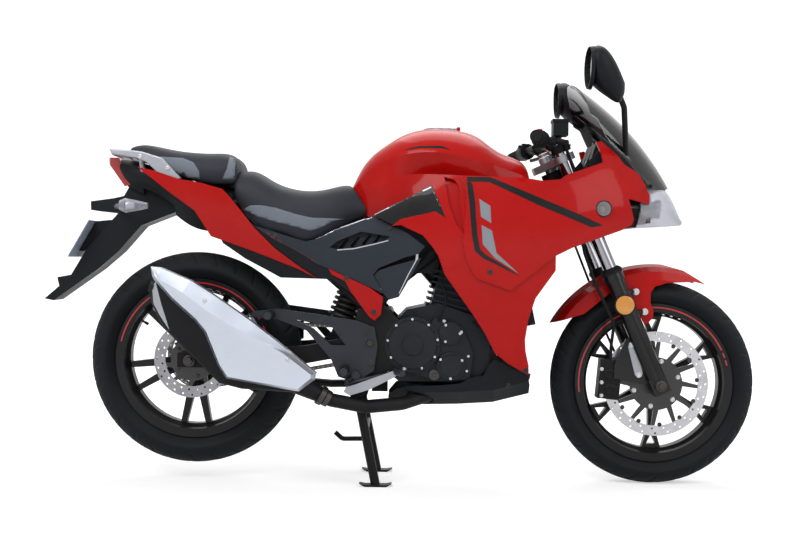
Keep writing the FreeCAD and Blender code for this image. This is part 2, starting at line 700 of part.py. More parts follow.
GUARD_SIDE = [
    (1016, 459), (1045, 506), (1074, 544), (1136, 593), (1216, 626), (1275, 639), (1318, 643), (1352, 640),
    (1412, 622), (1470, 583), (1440, 590), (1357, 586), (1323, 575), (1311, 557), (1311, 527), (1320, 504),
    (1318, 484), (1296, 462), (1245, 560), (1200, 560), (1121, 494),
]
outer_r = mm("front_tyre_radius") + 48
arch = [(-guard_half, 176), (-guard_half, 298), (-guard_half + 8, 322), (-guard_half * 0.5, outer_r - 8),
        (0, outer_r), (guard_half * 0.5, outer_r - 8), (guard_half - 8, 322), (guard_half, 298),
        (guard_half, 176)]
inner_arch = [(y * 0.94, r - 4) for y, r in reversed(arch)]
profile = [FRONT_AXLE + Vector(0, y, r) for y, r in arch + inner_arch]
ring = Part.Face(Part.makePolygon(profile + profile[:1])).revolve(FRONT_AXLE, LEFT, 360)
guard = ring.common(side_prism(GUARD_SIDE, -120, 120))
legs = Part.makeCompound([rod(steer(150, offset, y), steer(330, offset, y), mm("slider_radius") + 0.4)
                          for y in (-spread, spread)])
guard = guard.cut(legs).cut(Part.makeCompound([s.cut(axle_hole) for s in sliders]))
piece("front_mudguard", largest(guard))

# Handlebars, grips and controls

bars, grips, levers, perches = [], [], [], {}
sweep_dir = math.radians(mm("bar_sweep"))
tube_top = mm("fork_tube_top")
for s in (-1, 1):
    clamp = rod(steer(tube_top - 26, offset, s * spread), steer(tube_top - 2, offset, s * spread),
                mm("fork_tube_radius") + 9)
    riser_top = steer(tube_top + 25, -2, s * (spread + 8))
    riser = rod(steer(tube_top - 14, offset - 14, s * spread), riser_top, 13)
    end = riser_top + Vector(-math.sin(sweep_dir), s * math.cos(sweep_dir), -0.05) * (
        (mm("bar_reach") - spread) / math.cos(sweep_dir))
    bar = rod(riser_top - (end - riser_top) * 0.06, end, mm("bar_radius"))
    hole = rod(steer(tube_top - 60, offset, s * spread), steer(tube_top + 20, offset, s * spread),
               mm("fork_tube_radius"))
    bars.append(fused([clamp, riser, bar]).cut(hole))
    run = (end - riser_top).normalize()
    start = end - run * (mm("grip_length") + 6)
    grip = rod(start, end - run * 6, mm("grip_radius"))
    flange = rod(start, start + run * 6, mm("grip_radius") + 6)
    weight = rod(end - run * 2, end + run * 14, mm("grip_radius") - 2)
    bars[-1] = fused([bars[-1], weight])
    grips.append(fused([grip, flange]).cut(bars[-1]))
    pod_at = start - run * 46
    pod = rod(pod_at, start - run * 4, 24)
    perch = pod_at - run * 14
    lever_out = run * 150 + Vector(34, 0, -6)
    perches["right" if s < 0 else "left"] = perch
    perch_arm = rod(perch, perch + Vector(40, 0, -4), 12)
    lever_bend = perch + Vector(62, 0, -6) + lever_out * 0.35
    lever = rod(perch + Vector(40, 0, -4), lever_bend, 7)
    lever = lever.fuse(rod(lever_bend, perch + Vector(58, 0, -8) + run * 160, 5.5))
    parts = [pod, perch_arm, lever]
    if s < 0:
        parts.append(rod(perch + Vector(38, 6, -4), perch + Vector(52, 6, 16), 8))
        parts.append(Part.makeBox(42, 46, 40, perch + Vector(30, -17, 12)))
        parts.append(Part.makeBox(46, 50, 8, perch + Vector(28, -19, 50)))
    levers.append(fused(parts).cut(bars[-1]))
piece("handlebars", Part.makeCompound(bars))
piece("grips", Part.makeCompound(grips))
piece("hand_controls", Part.makeCompound(levers))

# Brake hose on the right-hand leg and speed cable on the left one, held by the steering all the way

hose_path = [perches["right"] + Vector(30, 6, 0), steer(748, 48, -132), steer(640, 40, -136),
             steer(540, 4, -140), steer(430, -20, -132), steer(330, -24, -122), at(1198, -112, 470),
             at(1196, -82, 402),
             at(1196, -74, 340)]
hose = tube(hose_path, 4.5, 34).cut(Part.makeCompound(sliders)).cut(largest(caliper)).cut(levers[0])
hose = hose.cut(Part.makeCompound([lower_yoke, upper_yoke]))
cable_path = [at(1330, 70, 300), at(1262, 76, 322), at(1204, 84, 450), at(1166, 88, 570), at(1118, 92, 690),
              at(1104, 92, 742)]
cable = tube(cable_path, 3.5, 40).cut(front_axle).cut(lower_yoke).cut(sliders[1])
piece("hoses", Part.makeCompound([largest(hose), largest(cable)]))

# Frame: steering head, spars, engine cradle, pivot plates and seat rails

tube_r = 16
head_low, head_high = steer(mm("lower_clamp_at") + 26), steer(mm("upper_clamp_at") - 20)
head = rod(head_low, head_high, mm("head_tube_radius"))
bore = rod(head_low - STEER_UP * 20, head_high + STEER_UP * 20, mm("stem_radius") + 0.1)
pivot_a, pivot_z = mm("pivot_station"), mm("pivot_height")
right = [
    tube([at(1068, -14, 806), at(930, -92, 768), at(720, -108, 690), at(560, -113, 560), at(500, -113, 470)],
         tube_r),
    tube([at(1074, -10, 800), at(900, -74, 600), at(880, -80, 470), at(840, -84, 318)], tube_r - 2),
    tube([at(620, -112, 640), at(420, -96, 700), at(220, -88, 772), at(-60, -72, 846)], 12),
    tube([at(520, -114, 480), at(380, -100, 600), at(200, -88, 730), at(60, -80, 806)], 11),
]
plate_points = [(470, 500), (540, 520), (590, 470), (580, 340), (530, 316), (490, 330), (470, 380),
                (466, 440)]
outer_plate = mm("arm_inner") + mm("arm_thickness") + 1.5
right.append(side_prism(plate_points, -outer_plate - 8, -outer_plate))
hanger_points = [(486, 440), (530, 440), (536, 380), (500, 250), (484, 236), (456, 240), (450, 262),
                 (470, 340)]
right.append(side_prism(hanger_points, -mm("arm_inner") + 0.5, -mm("arm_inner") + 5))
cross = [
    rod(at(200, -88, 775), at(200, 88, 775), 11), rod(at(20, -78, 826), at(20, 78, 826), 11),
    rod(at(mm("stand_pivot_station"), -97, mm("stand_pivot_height")),
        at(mm("stand_pivot_station"), 97, mm("stand_pivot_height")), 14),
    rod(at(560, -112, 560), at(560, 112, 560), 14), rod(at(560, -125, 490), at(560, 125, 490), 12),
    rod(at(846, -84, 345), at(846, 84, 345), 12),
]
frame_parts = [head] + right + [mirrored(p) for p in right] + cross
frame_parts.append(rod(at(420, -97, 695), at(420, 97, 695), 10))
tree_bore = rod(at(pivot_a, -200, pivot_z), at(pivot_a, 200, pivot_z), 9)
stand_bore = rod(at(mm("stand_pivot_station"), -200, mm("stand_pivot_height")),
                 at(mm("stand_pivot_station"), 200, mm("stand_pivot_height")), 8)
frame_core = fused(frame_parts).cut(bore).cut(tree_bore).cut(stand_bore)

# Swingarm with rear axle

SPOOL_A, SPOOL_Z = 30, 341
inner, thick = mm("arm_inner"), mm("arm_thickness")
arm = side_prism([(pivot_a + 24, pivot_z + 18), (pivot_a - 10, pivot_z + 26), (330, 396), (60, 374),
                  (-36, 370), (-36, 330), (60, 330), (330, 346), (pivot_a, pivot_z - 26)],
                 -inner - thick, -inner)
arm = arm.fuse(rod(at(pivot_a, -inner - thick, pivot_z), at(pivot_a, -inner, pivot_z), 28))
bridge = Part.makeBox(46, 2 * inner, 40, at(366, -inner, 356))
pivot_tube = rod(at(pivot_a, -inner + 6, pivot_z), at(pivot_a, inner - 6, pivot_z), 22)
swing = fused([arm, mirrored(arm), bridge])
axle_slot = rod(REAR_AXLE - LEFT * 220, REAR_AXLE + LEFT * 220, mm("rear_axle_radius"))
spool_start, spool_stop = inner + thick - 18, inner + thick + 5
spool_holes = [rod(at(SPOOL_A, s * spool_start, SPOOL_Z), at(SPOOL_A, s * spool_stop, SPOOL_Z), 3.4)
               for s in (-1, 1)]
swing = swing.fuse(pivot_tube).cut(tree_bore).cut(axle_slot).cut(Part.makeCompound(spool_holes))
piece("swingarm", swing)
pivot_end = outer_plate + 14
pivot_caps = [rod(at(pivot_a, s * (outer_plate + 4), pivot_z), at(pivot_a, s * pivot_end, pivot_z), 17)
              for s in (-1, 1)]
pivot_bolt = fused([rod(at(pivot_a, -pivot_end, pivot_z), at(pivot_a, pivot_end, pivot_z), 9)] + pivot_caps)
axle_end = inner + thick + 16
rear_gap = {-1: mm("rear_disc_lateral") + 4, 1: mm("chain_lateral") + 4}
rear_axle = [rod(REAR_AXLE - LEFT * axle_end, REAR_AXLE + LEFT * axle_end, mm("rear_axle_radius"))]
for s in (-1, 1):
    rear_axle.append(rod(REAR_AXLE + LEFT * s * (inner + thick), REAR_AXLE + LEFT * s * axle_end, 17))
    rear_axle.append(rod(REAR_AXLE + LEFT * s * rear_gap[s], REAR_AXLE + LEFT * s * inner, 15))
piece("rear_axle", fused(rear_axle))
shock = [rod(at(400, 0, 420), at(470, 0, 600), 12), rod(at(415, 0, 458), at(455, 0, 562), 30),
         rod(at(398, -14, 412), at(398, 14, 412), 17), rod(at(472, -14, 604), at(472, 14, 604), 17)]
shock_whole = fused(shock)
piece("rear_shock", largest(shock_whole.cut(swing)))

# Engine, radiator and exhaust

case_side = [(560, 320), (590, 297), (800, 296), (846, 340), (850, 420), (800, 486), (700, 520), (610, 500),
             (566, 455), (548, 400)]
case = side_prism(case_side, -98, 98)
barrel = Part.makeBox(120, 150, 150, Vector(-60, -75, 0))
barrel.Placement = Placement(at(730, 0, 470), Rotation(LEFT, 14))
fins = []
for i in range(7):
    fin = Part.makeBox(150, 176, 6, Vector(-75, -88, 26 + i * 17))
    fin.Placement = barrel.Placement
    fins.append(fin)
cam_cover = Part.makeBox(110, 130, 46, Vector(-55, -65, 148))
cam_cover.Placement = barrel.Placement
intake_box = Part.makeBox(124, 140, 136, at(576, -70, 604))
throttle = rod(at(650, 0, 650), at(724, 0, 566), 30)
engine = fused([case, barrel, cam_cover, intake_box, throttle] + fins)
engine = engine.cut(frame_core)
engine = largest(engine)

covers = [rod(at(628, -98, 404), at(628, -132, 404), 78), rod(at(628, -130, 404), at(628, -142, 404), 66),
          rod(at(628, -140, 404), at(628, -148, 404), 28), rod(at(737, -98, 344), at(737, -128, 344), 40),
          rod(at(737, -127, 344), at(737, -134, 344), 30), rod(at(734, -98, 436), at(734, -124, 436), 32),
          side_prism([(600, 330), (700, 302), (790, 306), (800, 380), (770, 452), (690, 480)], -118, -98)]
for turn in range(0, 360, 36):
    rib = Part.makeBox(42, 8, 5, Vector(32, -138, -2.5))
    rib.Placement = Placement(at(628, 0, 404), Rotation(LEFT, turn))
    covers.append(rib)
right_cover = fused(covers)
case_outline = [(540, 350), (600, 310), (700, 302), (790, 306), (800, 400), (700, 470), (600, 460)]
left_covers = [rod(at(730, 98, 372), at(730, 134, 372), 74), rod(at(730, 133, 372), at(730, 142, 372), 50),
               side_prism(case_outline, 98, 112)]
left_cover = fused(left_covers)
front_sprocket_at = at(578, mm("chain_lateral"), 398)
piece("engine_covers", Part.makeCompound([right_cover, left_cover]))

core = Part.makeBox(30, 230, 190, Vector(-15, -115, -95))
core.Placement = Placement(at(934, 0, 560), Rotation(LEFT, -12))
tanks = [Part.makeBox(36, 24, 200, Vector(-18, s * 127 - 12, -100)) for s in (-1, 1)]
for tank_end in tanks:
    tank_end.Placement = core.Placement
radiator = fused([core] + tanks).cut(frame_core)
piece("radiator", largest(radiator))

pipe_path = [at(790, -20, 590), at(880, -26, 560), at(898, -40, 420), at(880, -54, 268), at(700, -62, 262),
             at(600, -120, 236), at(500, -152, 230), at(400, -182, 252), at(318, -196, 296)]
pipe_radius = mm("pipe_radius")
exhaust = tube(pipe_path, pipe_radius, 60)
cone = Part.makeCone(pipe_radius, 31, 90, at(392, -184, 256), at(318, -196, 296) - at(392, -184, 256))
exhaust = fused([exhaust, cone]).cut(engine)
exhaust_pipe = largest(exhaust)
piece("exhaust_pipe", exhaust_pipe)

MUFFLER_SIDE = [(-93, 551), (-90, 513), (-65, 460), (-41, 431), (0, 391), (98, 297), (160, 282), (310, 274),
                (352, 300), (352, 334), (240, 424), (84, 530), (18, 568), (-60, 600), (-82, 590)]
muffler = side_prism(MUFFLER_SIDE, -226, -156)
muffler = muffler.makeFillet(16, [e for e in muffler.Edges if abs(e.tangentAt(e.FirstParameter).y) < 0.01
                                  and e.Length > 20])
muffler = muffler.cut(exhaust_pipe)
muffler = largest(muffler)
piece("muffler", muffler)
SHIELD_SIDE = [(-91, 614), (-67, 612), (18, 578), (84, 537), (181, 471), (246, 422), (305, 375), (365, 328),
               (362, 312), (318, 279), (302, 281), (119, 311), (97, 345), (58, 436), (31, 468), (-34, 525),
               (-77, 572), (-86, 586)]
SHIELD_FACE = [(-76, 590), (-60, 578), (0, 545), (60, 500), (130, 458), (200, 424), (273, 385), (352, 326),
               (350, 316), (316, 287), (303, 289), (126, 318), (105, 348), (66, 441), (38, 474), (-28, 532),
               (-68, 577), (-76, 586)]
shield_rings = [(-226, SHIELD_SIDE), (-244, SHIELD_FACE)]
shield = Part.makeLoft([
    Part.makePolygon([at(a, y, z) for a, z in ring + ring[:1]]) for y, ring in shield_rings], True, True)
shield_lip = [(-91, 614), (-67, 612), (18, 578), (84, 537), (181, 471), (246, 422), (305, 375), (365, 328),
              (358, 320), (300, 366), (240, 412), (180, 462), (80, 530), (14, 570), (-66, 604), (-86, 604)]
shield = shield.fuse(side_prism(shield_lip, -227, -190)).cut(muffler).cut(exhaust_pipe)
shield = largest(shield)
piece("muffler_cover", shield)

# Fuel tank, cap and seats

tank_floor = 800
TANK = [
    (449, 853, (60, 806), (66, 824), (66, 838)), (470, 896, (84, 786), (92, 834), (88, 866)),
    (500, 938, (106, 764), (118, 846), (108, 894)), (545, 974, (128, 770), (138, 858), (132, 922)),
    (600, 1006, (146, 786), (138, 880), (158, 936)), (660, 1021, (160, 808), (138, 884), (172, 942)),
    (720, 1022, (172, 822), (148, 882), (176, 938)), (790, 1009, (174, 826), (160, 876), (172, 924)),
    (850, 970, (168, 830), (160, 868), (160, 908)), (900, 946, (156, 836), (150, 862), (146, 894)),
    (938, 928, (142, 842), (138, 858), (132, 880)), (951, 902, (132, 844), (128, 856), (122, 872)),
]


def tank_section(a, top, low, waist, crease):
    """A tank section with a knee recess below its crease."""
    rise = top - crease[1]
    return whole_section(a, [(low[0] * 0.8, min(tank_floor, low[1] - 8)), low, waist, crease],
                         [(crease[0] * 0.78, crease[1] + rise * 0.62), (crease[0] * 0.42, top - rise * 0.06),
                          (0, top)])


tank_shape = loft([tank_section(*s) for s in TANK])
tunnel = side_prism([(440, 740), (990, 740), (990, 826), (440, 826)], -60, 60)
tank_shape = tank_shape.cut(tunnel)
CAP_A, CAP_RADIUS = 700, 46
cap_floor, cap_step, neck_gap = 1004, 6, 4
neck = rod(at(CAP_A, 0, cap_floor - 12), at(CAP_A, 0, cap_floor + 60), CAP_RADIUS + neck_gap)
filler = rod(at(CAP_A, 0, cap_floor - 52), at(CAP_A, 0, cap_floor + 10), 20)
tank_shape = tank_shape.cut(neck).cut(filler)
cap = rod(at(CAP_A, 0, cap_floor + 3), at(CAP_A, 0, cap_floor + 22), CAP_RADIUS)
cap = cap.fuse(rod(at(CAP_A, 0, cap_floor - 9), at(CAP_A, 0, cap_floor + 4), CAP_RADIUS - cap_step))
cap = cap.cut(rod(at(CAP_A, 0, cap_floor - 10), at(CAP_A, 0, cap_floor + 1), 30))
hinge_at = at(CAP_A + CAP_RADIUS + 9, 0, cap_floor + 22)
hinge = rod(hinge_at - LEFT * 11, hinge_at + LEFT * 11, 5)
hinge_arm = Part.makeBox(14, 16, 6, hinge_at + Vector(-16, -8, -3))
cap = fused([cap, hinge_arm]).cut(rod(hinge_at - LEFT * 20, hinge_at + LEFT * 20, 5.1))
ears = [Part.makeBox(10, 4, 40, hinge_at + Vector(-5, s * 12 - 2, -34)) for s in (-1, 1)]
cap_hinge = fused([hinge.fuse(rod(hinge_at - LEFT * 14, hinge_at + LEFT * 14, 5))] + ears).cut(tank_shape)
piece("fuel_cap", cap)
piece("fuel_tank", fused([tank_shape, largest(cap_hinge)]))

SEAT = [(118, 880, 122, 816), (150, 890, 130, 766), (178, 887, 136, 738), (226, 860, 144, 716),
        (277, 841, 150, 702), (327, 835, 152, 690), (363, 838, 148, 700), (398, 846, 142, 718),
        (430, 853, 130, 736), (456, 848, 116, 750), (485, 826, 108, 762), (510, 796, 104, 776)]
gap = mm("fit_gap")


def seat_section(a, top, half, low):
    """A seat section with rounded upper edges."""
    tall = top - low
    return whole_section(a, [(half * 0.95, low), (half, low + tall * 0.2)],
                         [(half * 0.97, low + tall * 0.58), (half * 0.8, low + tall * 0.88), (0, top)])


rider_seat = loft([seat_section(*s) for s in SEAT])
seat_hollow = loft([seat_section(a, max(top - 46, low + 8), half - 20, low - 12)
                    for a, top, half, low in SEAT[1:]])
rider_seat = rider_seat.cut(seat_hollow).cut(moved(tank_shape, -gap, 0, 0))
piece("rider_seat", largest(rider_seat))
PILLION = [(-195, 956, 60, 930), (-165, 963, 76, 918), (-120, 959, 92, 900), (-60, 947, 106, 880),
           (-10, 941, 116, 862), (50, 939, 122, 850), (92, 938, 122, 850), (126, 912, 118, 852)]
pillion = loft([seat_section(*s) for s in PILLION]).cut(moved(rider_seat, -gap, 0, gap))
piece("pillion_seat", largest(pillion))

# Side panels cut from the two skins


def panel(label, shape, cutters=()):
    """A right-hand panel and its mirror image, as one node."""
    for cutter in cutters:
        shape = shape.cut(cutter)
    shape = largest(shape)
    piece(label, both_sides(shape))
    return shape


shell, step = mm("panel"), mm("panel_step")
scoop_depth, louvre_depth = 14, 20


def panel_layer(sections, outward, thickness):
    """A side skin moved outward and made as thick as asked."""
    return skin([(a, [(y - outward, z) for y, z in points]) for a, points in sections], thickness)


scoop_face = Part.Face(Part.makePolygon([at(a, -300, z) for a, z in SCOOP_OUTLINE + SCOOP_OUTLINE[:1]]))
scoop = scoop_face.extrude(LEFT * 300)
scoop_rim = scoop_face.makeOffset2D(mm("panel") - 0.5, 2).extrude(LEFT * 300)
raised = panel_layer(FAIRING_SKIN, step, step + 2).common(side_prism(RAISED_OUTLINE, -300, 0))
fairing = fairing_skin.fuse(raised)
fairing = fairing.fuse(panel_layer(FAIRING_SKIN, -1, scoop_depth + shell).common(scoop_rim))
fairing = fairing.cut(panel_layer(FAIRING_SKIN, 20, scoop_depth + 20).common(scoop))
fairing = fairing.common(side_prism(FAIRING_OUTLINE, -300, 0))
indicator_hole = rod(at(1146, -120, 790), at(1146, -300, 790), 21.3)
fairing = largest(fairing.cut(indicator_hole))
piece("side_fairing_right", fairing)
piece("side_fairing_left", mirrored(fairing))
tank_side = panel("tank_side_panels", fairing_skin.common(side_prism(TANK_SIDE_OUTLINE, -300, 0)), [fairing])
louvre_face = Part.Face(Part.makePolygon([at(a, -300, z) for a, z in LOUVRE_OUTLINE + LOUVRE_OUTLINE[:1]]))
louvre = louvre_face.extrude(LEFT * 300)
louvre_rim = louvre_face.makeOffset2D(3, 2).extrude(LEFT * 300)
cover = tail_skin.fuse(panel_layer(TAIL_SKIN, -1, louvre_depth + shell).common(louvre_rim))
cover = cover.cut(panel_layer(TAIL_SKIN, 20, louvre_depth + 20).common(louvre))
cover = cover.common(side_prism(COVER_OUTLINE, -300, 0))
cover = largest(cover.cut(tank_side).cut(fairing))
heel = panel("heel_panels", tail_skin.common(side_prism(HEEL_OUTLINE, -300, 0)), [cover])
tail = panel("tail_panels", tail_skin.common(side_prism(TAIL_OUTLINE, -300, 0)), [cover])
recess = shell + gap
backing = panel_layer(TAIL_SKIN, -recess, shell)
for other in (cover, heel, tail, fairing):
    backing = backing.cut(other)
liner = largest(backing.common(side_prism(LINER_OUTLINE, -300, 0)))
inner_cover = largest(backing.common(side_prism(INNER_COVER_OUTLINE, -300, 0)).cut(liner))
piece("side_covers", Part.makeCompound([cover, inner_cover, mirrored(cover), mirrored(inner_cover)]))

# Black tail: tray below the seats, rear mudguard with the plate's holder, and the lamps

TRAY = [(-228, 54, 900, 924), (-198, 72, 842, 920), (-170, 82, 828, 914), (-63, 106, 768, 876),
        (60, 112, 716, 846), (110, 104, 712, 842)]
TRAY_HOLLOW = [(-150, 70, 780, 870), (-40, 96, 740, 846), (60, 100, 700, 824), (112, 92, 696, 820)]


def tray_section(a, half, low, top):
    """A tray section with a flat top and sloping sides."""
    return whole_section(a, [(half * 0.7, low), (half, low + (top - low) * 0.4)],
                         [(half * 0.94, low + (top - low) * 0.8), (half * 0.5, top), (0, top)])


tray = loft([tray_section(*s) for s in TRAY])
tray = tray.cut(loft([tray_section(*s) for s in TRAY_HOLLOW]))
GUARD_ARM = [(-60, 772), (-161, 731), (-226, 655), (-284, 604), (-412, 511), (-438, 516), (-396, 553),
             (-402, 578), (-362, 586), (-318, 662), (-228, 766), (-307, 774), (-308, 799), (-241, 809),
             (-212, 816), (-192, 852), (-90, 850)]
PLATE_BRACKET = [(-297, 742), (-240, 748), (-300, 655), (-345, 655)]
tail_guard = side_prism(GUARD_ARM, -46, 46).fuse(side_prism(PLATE_BRACKET, -30, 30))
tray_pegs = [boss(60, 780, -106, [tail], 6), boss(-60, 846, -96, [tail], 6)]
seat_room = [moved(shape, 0, 0, -gap) for shape in (pillion, rider_seat)] + [pillion, rider_seat]
tail_under = fused([tray, tail_guard] + tray_pegs + [mirrored(p) for p in tray_pegs])
for other in seat_room + [tail, mirrored(tail)]:
    tail_under = tail_under.cut(other)
tail_under = tail_under.cut(frame_core)
tail_under = largest(tail_under)
piece("tail_under", Part.makeCompound([tail_under, liner, mirrored(liner)]))
lamp = side_prism([(-266, 925), (-224, 925), (-190, 848), (-207, 843)], -60, 60)
lamp = lamp.common(rod(at(-146, 0, 800), at(-146, 0, 1000), 120))
lamp = lamp.cut(tail_under).cut(pillion)
piece("tail_lamp", largest(lamp))
plate = Part.makeBox(mm("plate_thickness"), mm("plate_width"), mm("plate_height"),
                     Vector(-mm("plate_thickness"), -mm("plate_width") / 2, -mm("plate_height") / 2))
plate.Placement = Placement(at(-327, 0, 690), Rotation(LEFT, 29.36))
plate = plate.cut(tail_guard)
piece("number_plate", largest(plate))
rear_lamps = []
for s in (-1, 1):
    stalk = rod(at(-238, s * 28, 786), at(-190, s * 136, 784), 9)
    bulb_at = at(-204, s * 138, 784)
    drop = [bulb_at, bulb_at + Vector(4, 0, 14), bulb_at + Vector(20, 0, 21), bulb_at + Vector(50, 0, 15),
            bulb_at + Vector(82, 0, 8), bulb_at + Vector(82, 0, 0)]
    bulb = Part.Face(Part.makePolygon(drop + drop[:1])).revolve(bulb_at, Vector(1, 0, 0), 360)
    rear_lamps.append(fused([stalk, bulb]).cut(tail_under))

rail_side = [(-238, 945), (-175, 942), (-145, 938), (-108, 927), (-90, 922), (-33, 864), (-44, 858),
             (-105, 880), (-113, 890), (-133, 908), (-155, 918), (-210, 927), (-232, 931)]
rail = side_prism(rail_side, -118, -96)
long_edges = [e for e in rail.Edges if abs(e.tangentAt(e.FirstParameter).y) < 0.01 and e.Length > 12]
rail = rail.makeFillet(4, long_edges)
rail_back = tube([at(-228, -107, 938), at(-240, -60, 938), at(-240, 60, 938), at(-228, 107, 938)], 7, 40)
rail_lugs = [rod(at(-150, s * 107, 928), at(-150, s * 74, 876), 8) for s in (-1, 1)]
grab_rail = fused([rail, mirrored(rail), rail_back] + rail_lugs)
for other in (pillion, tail, mirrored(tail), tail_under):
    grab_rail = grab_rail.cut(other)
piece("grab_rail", largest(grab_rail))

# Belly pan

pan_sections = [(560, 96, 244), (640, 116, 228), (760, 128, 232), (860, 120, 238), (966, 84, 262)]


def pan_section(a, half, low, inset):
    """A belly pan section, drawn in by the inset."""
    return Part.makePolygon([at(a, y, z) for y, z in [
        (-half - 16 + inset, 380), (-half + inset, low + 40), (-half * 0.62 + inset * 0.5, low + inset),
        (half * 0.62 - inset * 0.5, low + inset), (half - inset, low + 40), (half + 16 - inset, 380),
        (-half - 16 + inset, 380)]])


pan = Part.makeLoft([pan_section(*s, 0) for s in pan_sections], True, True)
pan_inside = Part.makeLoft([pan_section(a - 4 if i == 0 else (a + 4 if i == 4 else a), half, low, mm("panel"))
                            for i, (a, half, low) in enumerate(pan_sections)], True, True)
PAN_SIDE = [(561, 253), (582, 275), (624, 285), (708, 289), (763, 296), (792, 312), (830, 319), (846, 353),
            (860, 366), (960, 309), (966, 288), (966, 220), (560, 220)]
pan = pan.cut(pan_inside).common(side_prism(PAN_SIDE, -200, 200))
pan = pan.cut(tube(pipe_path, pipe_radius + 5, 60)).cut(fairing).cut(mirrored(fairing)).cut(exhaust_pipe)
belly_pan = largest(pan)
piece("belly_pan", belly_pan)

# Windscreen, nose, headlamp, dash and front indicators

SCREEN = [(1040, 158, 1082, 1168), (1080, 162, 1040, 1156), (1130, 160, 986, 1124), (1190, 150, 934, 1077),
          (1250, 128, 890, 1021), (1300, 98, 858, 964), (1345, 62, 836, 902), (1372, 34, 830, 856)]


def arch_section(a, half, low, top, inset):
    """An arch of the windscreen, drawn in by the inset."""
    half, top = half - inset, top - inset
    tall = top - low
    crown = [(half, low + tall * 0.3), (half * 0.78, low + tall * 0.74), (half * 0.4, low + tall * 0.95),
             (0, top)]
    over = [at(a, y, z) for y, z in [(half * 0.97, low)] + crown]
    over += [at(a, -y, z) for y, z in reversed(crown[:-1])] + [at(a, -half * 0.97, low)]
    return Part.Wire([run_edge(over), Part.LineSegment(over[-1], over[0]).toShape()])


screen_hull = loft([arch_section(*s, 0) for s in SCREEN])
screen_inside = loft([arch_section(a, half, low - 1, top, mm("screen")) for a, half, low, top in SCREEN])
SCREEN_SIDE = [(1060, 1180), (1060, 1092), (1100, 1068), (1136, 1044), (1161, 992), (1181, 962), (1216, 934),
               (1250, 900), (1290, 866), (1331, 846), (1372, 862), (1372, 1180)]
screen_lip = rod(at(1388, 0, 800), at(1388, 0, 1300), 312)
screen = screen_hull.cut(screen_inside).common(side_prism(SCREEN_SIDE, -200, 200)).common(screen_lip)
screen = screen.cut(fairing).cut(mirrored(fairing))
screen = largest(screen)
piece("windscreen", screen)

LAMP = [(1262, 150, 742, 850), (1300, 128, 744, 866), (1345, 98, 747, 866), (1378, 70, 750, 826),
        (1406, 36, 753, 772)]


def lamp_section(a, half, low, top):
    """A headlamp section, widest below its middle."""
    tall = top - low
    return whole_section(a, [(half * 0.6, low), (half, low + tall * 0.42)],
                         [(half * 0.9, low + tall * 0.66), (half * 0.5, low + tall * 0.94), (0, top)])


lamp_body = loft([lamp_section(*s) for s in LAMP])
lamp_body = lamp_body.cut(fairing).cut(mirrored(fairing)).cut(screen)
headlamp = largest(lamp_body)
piece("headlamp", headlamp)
front_lamps = []
for s in (-1, 1):
    lens = rod(at(1146, s * 160, 790), at(1146, s * 212, 790), 21)
    front_lamps.append(lens)
nose = loft([lamp_section(a, half, low, top) for a, half, low, top in
             [(1160, 168, 714, 880), (1230, 150, 740, 872), (1270, 134, 744, 860)]])
nose = nose.cut(loft([lamp_section(a, half, low, top) for a, half, low, top in
                      [(1150, 160, 724, 872), (1230, 142, 749, 864), (1262, 128, 752, 854)]]))
nose = nose.cut(side_prism([(1100, 640), (1236, 640), (1236, 770), (1190, 850), (1100, 850)], -150, 150))
nose = nose.cut(Part.makeCompound(front_lamps)).cut(fairing).cut(mirrored(fairing)).cut(headlamp).cut(screen)
piece("nose_cowl", largest(nose))
dash = side_prism([(1158, 884), (1132, 940), (1146, 984), (1166, 984), (1206, 930), (1210, 890)], -84, 84)
dash = dash.fuse(rod(at(1184, 0, 900), at(1184, 0, 858), 14))
for s in (-1, 1):
    visor = side_prism([(1106, 914), (1150, 966), (1166, 962), (1190, 905), (1160, 880), (1132, 900)],
                       s * 130, s * 134)
    dash = dash.fuse(visor).fuse(rod(at(1172, s * 80, 925), at(1172, s * 132, 925), 7))
dash = dash.cut(nose)
piece("instrument_panel", largest(dash))
rear_bulbs = [largest(r) for r in rear_lamps]
piece("indicators", Part.makeCompound(front_lamps + rear_bulbs))
front_stay = at(1178, 0, 850)
stay = [rod(steer(mm("upper_clamp_at") - 100, 28), front_stay, 11),
        rod(front_stay - LEFT * 140, front_stay + LEFT * 140, 9)]
STAYS = [((892, 76, 530), (930, 76, 530), 8), ((900, 96, 760), (900, 96, 815), 10),
         ((560, 108, 600), (560, 100, 815), 9), ((330, 92, 730), (330, 92, 800), 8),
         ((180, 86, 780), (180, 86, 850), 8), ((-20, 74, 832), (-20, 74, 900), 8)]
for s in (-1, 1):
    for (a0, y0, z0), (a1, y1, z1), radius in STAYS:
        stay.append(rod(at(a0, s * y0, z0), at(a1, s * y1, z1), radius))
MIRROR = [(1092, 58, 1122, 1212), (1106, 62, 1106, 1217), (1141, 50, 1080, 1192), (1168, 28, 1070, 1146),
          (1179, 12, 1090, 1124)]


def mirror_ring(a, half, low, top, side):
    """A rounded section of a mirror's head, fuller towards its outer top corner."""
    middle, tall = (low + top) / 2, (top - low) / 2
    points = [at(a, side * (298 + half * across), middle + tall * up) for across, up in (
        (-1, -0.1), (-0.6, -0.8), (0, -1), (0.7, -0.66), (1, 0.1), (0.84, 0.74), (0.2, 1), (-0.6, 0.8))]
    curve = Part.BSplineCurve()
    curve.interpolate(points, PeriodicFlag=True)
    return Part.Wire([curve.toShape()])


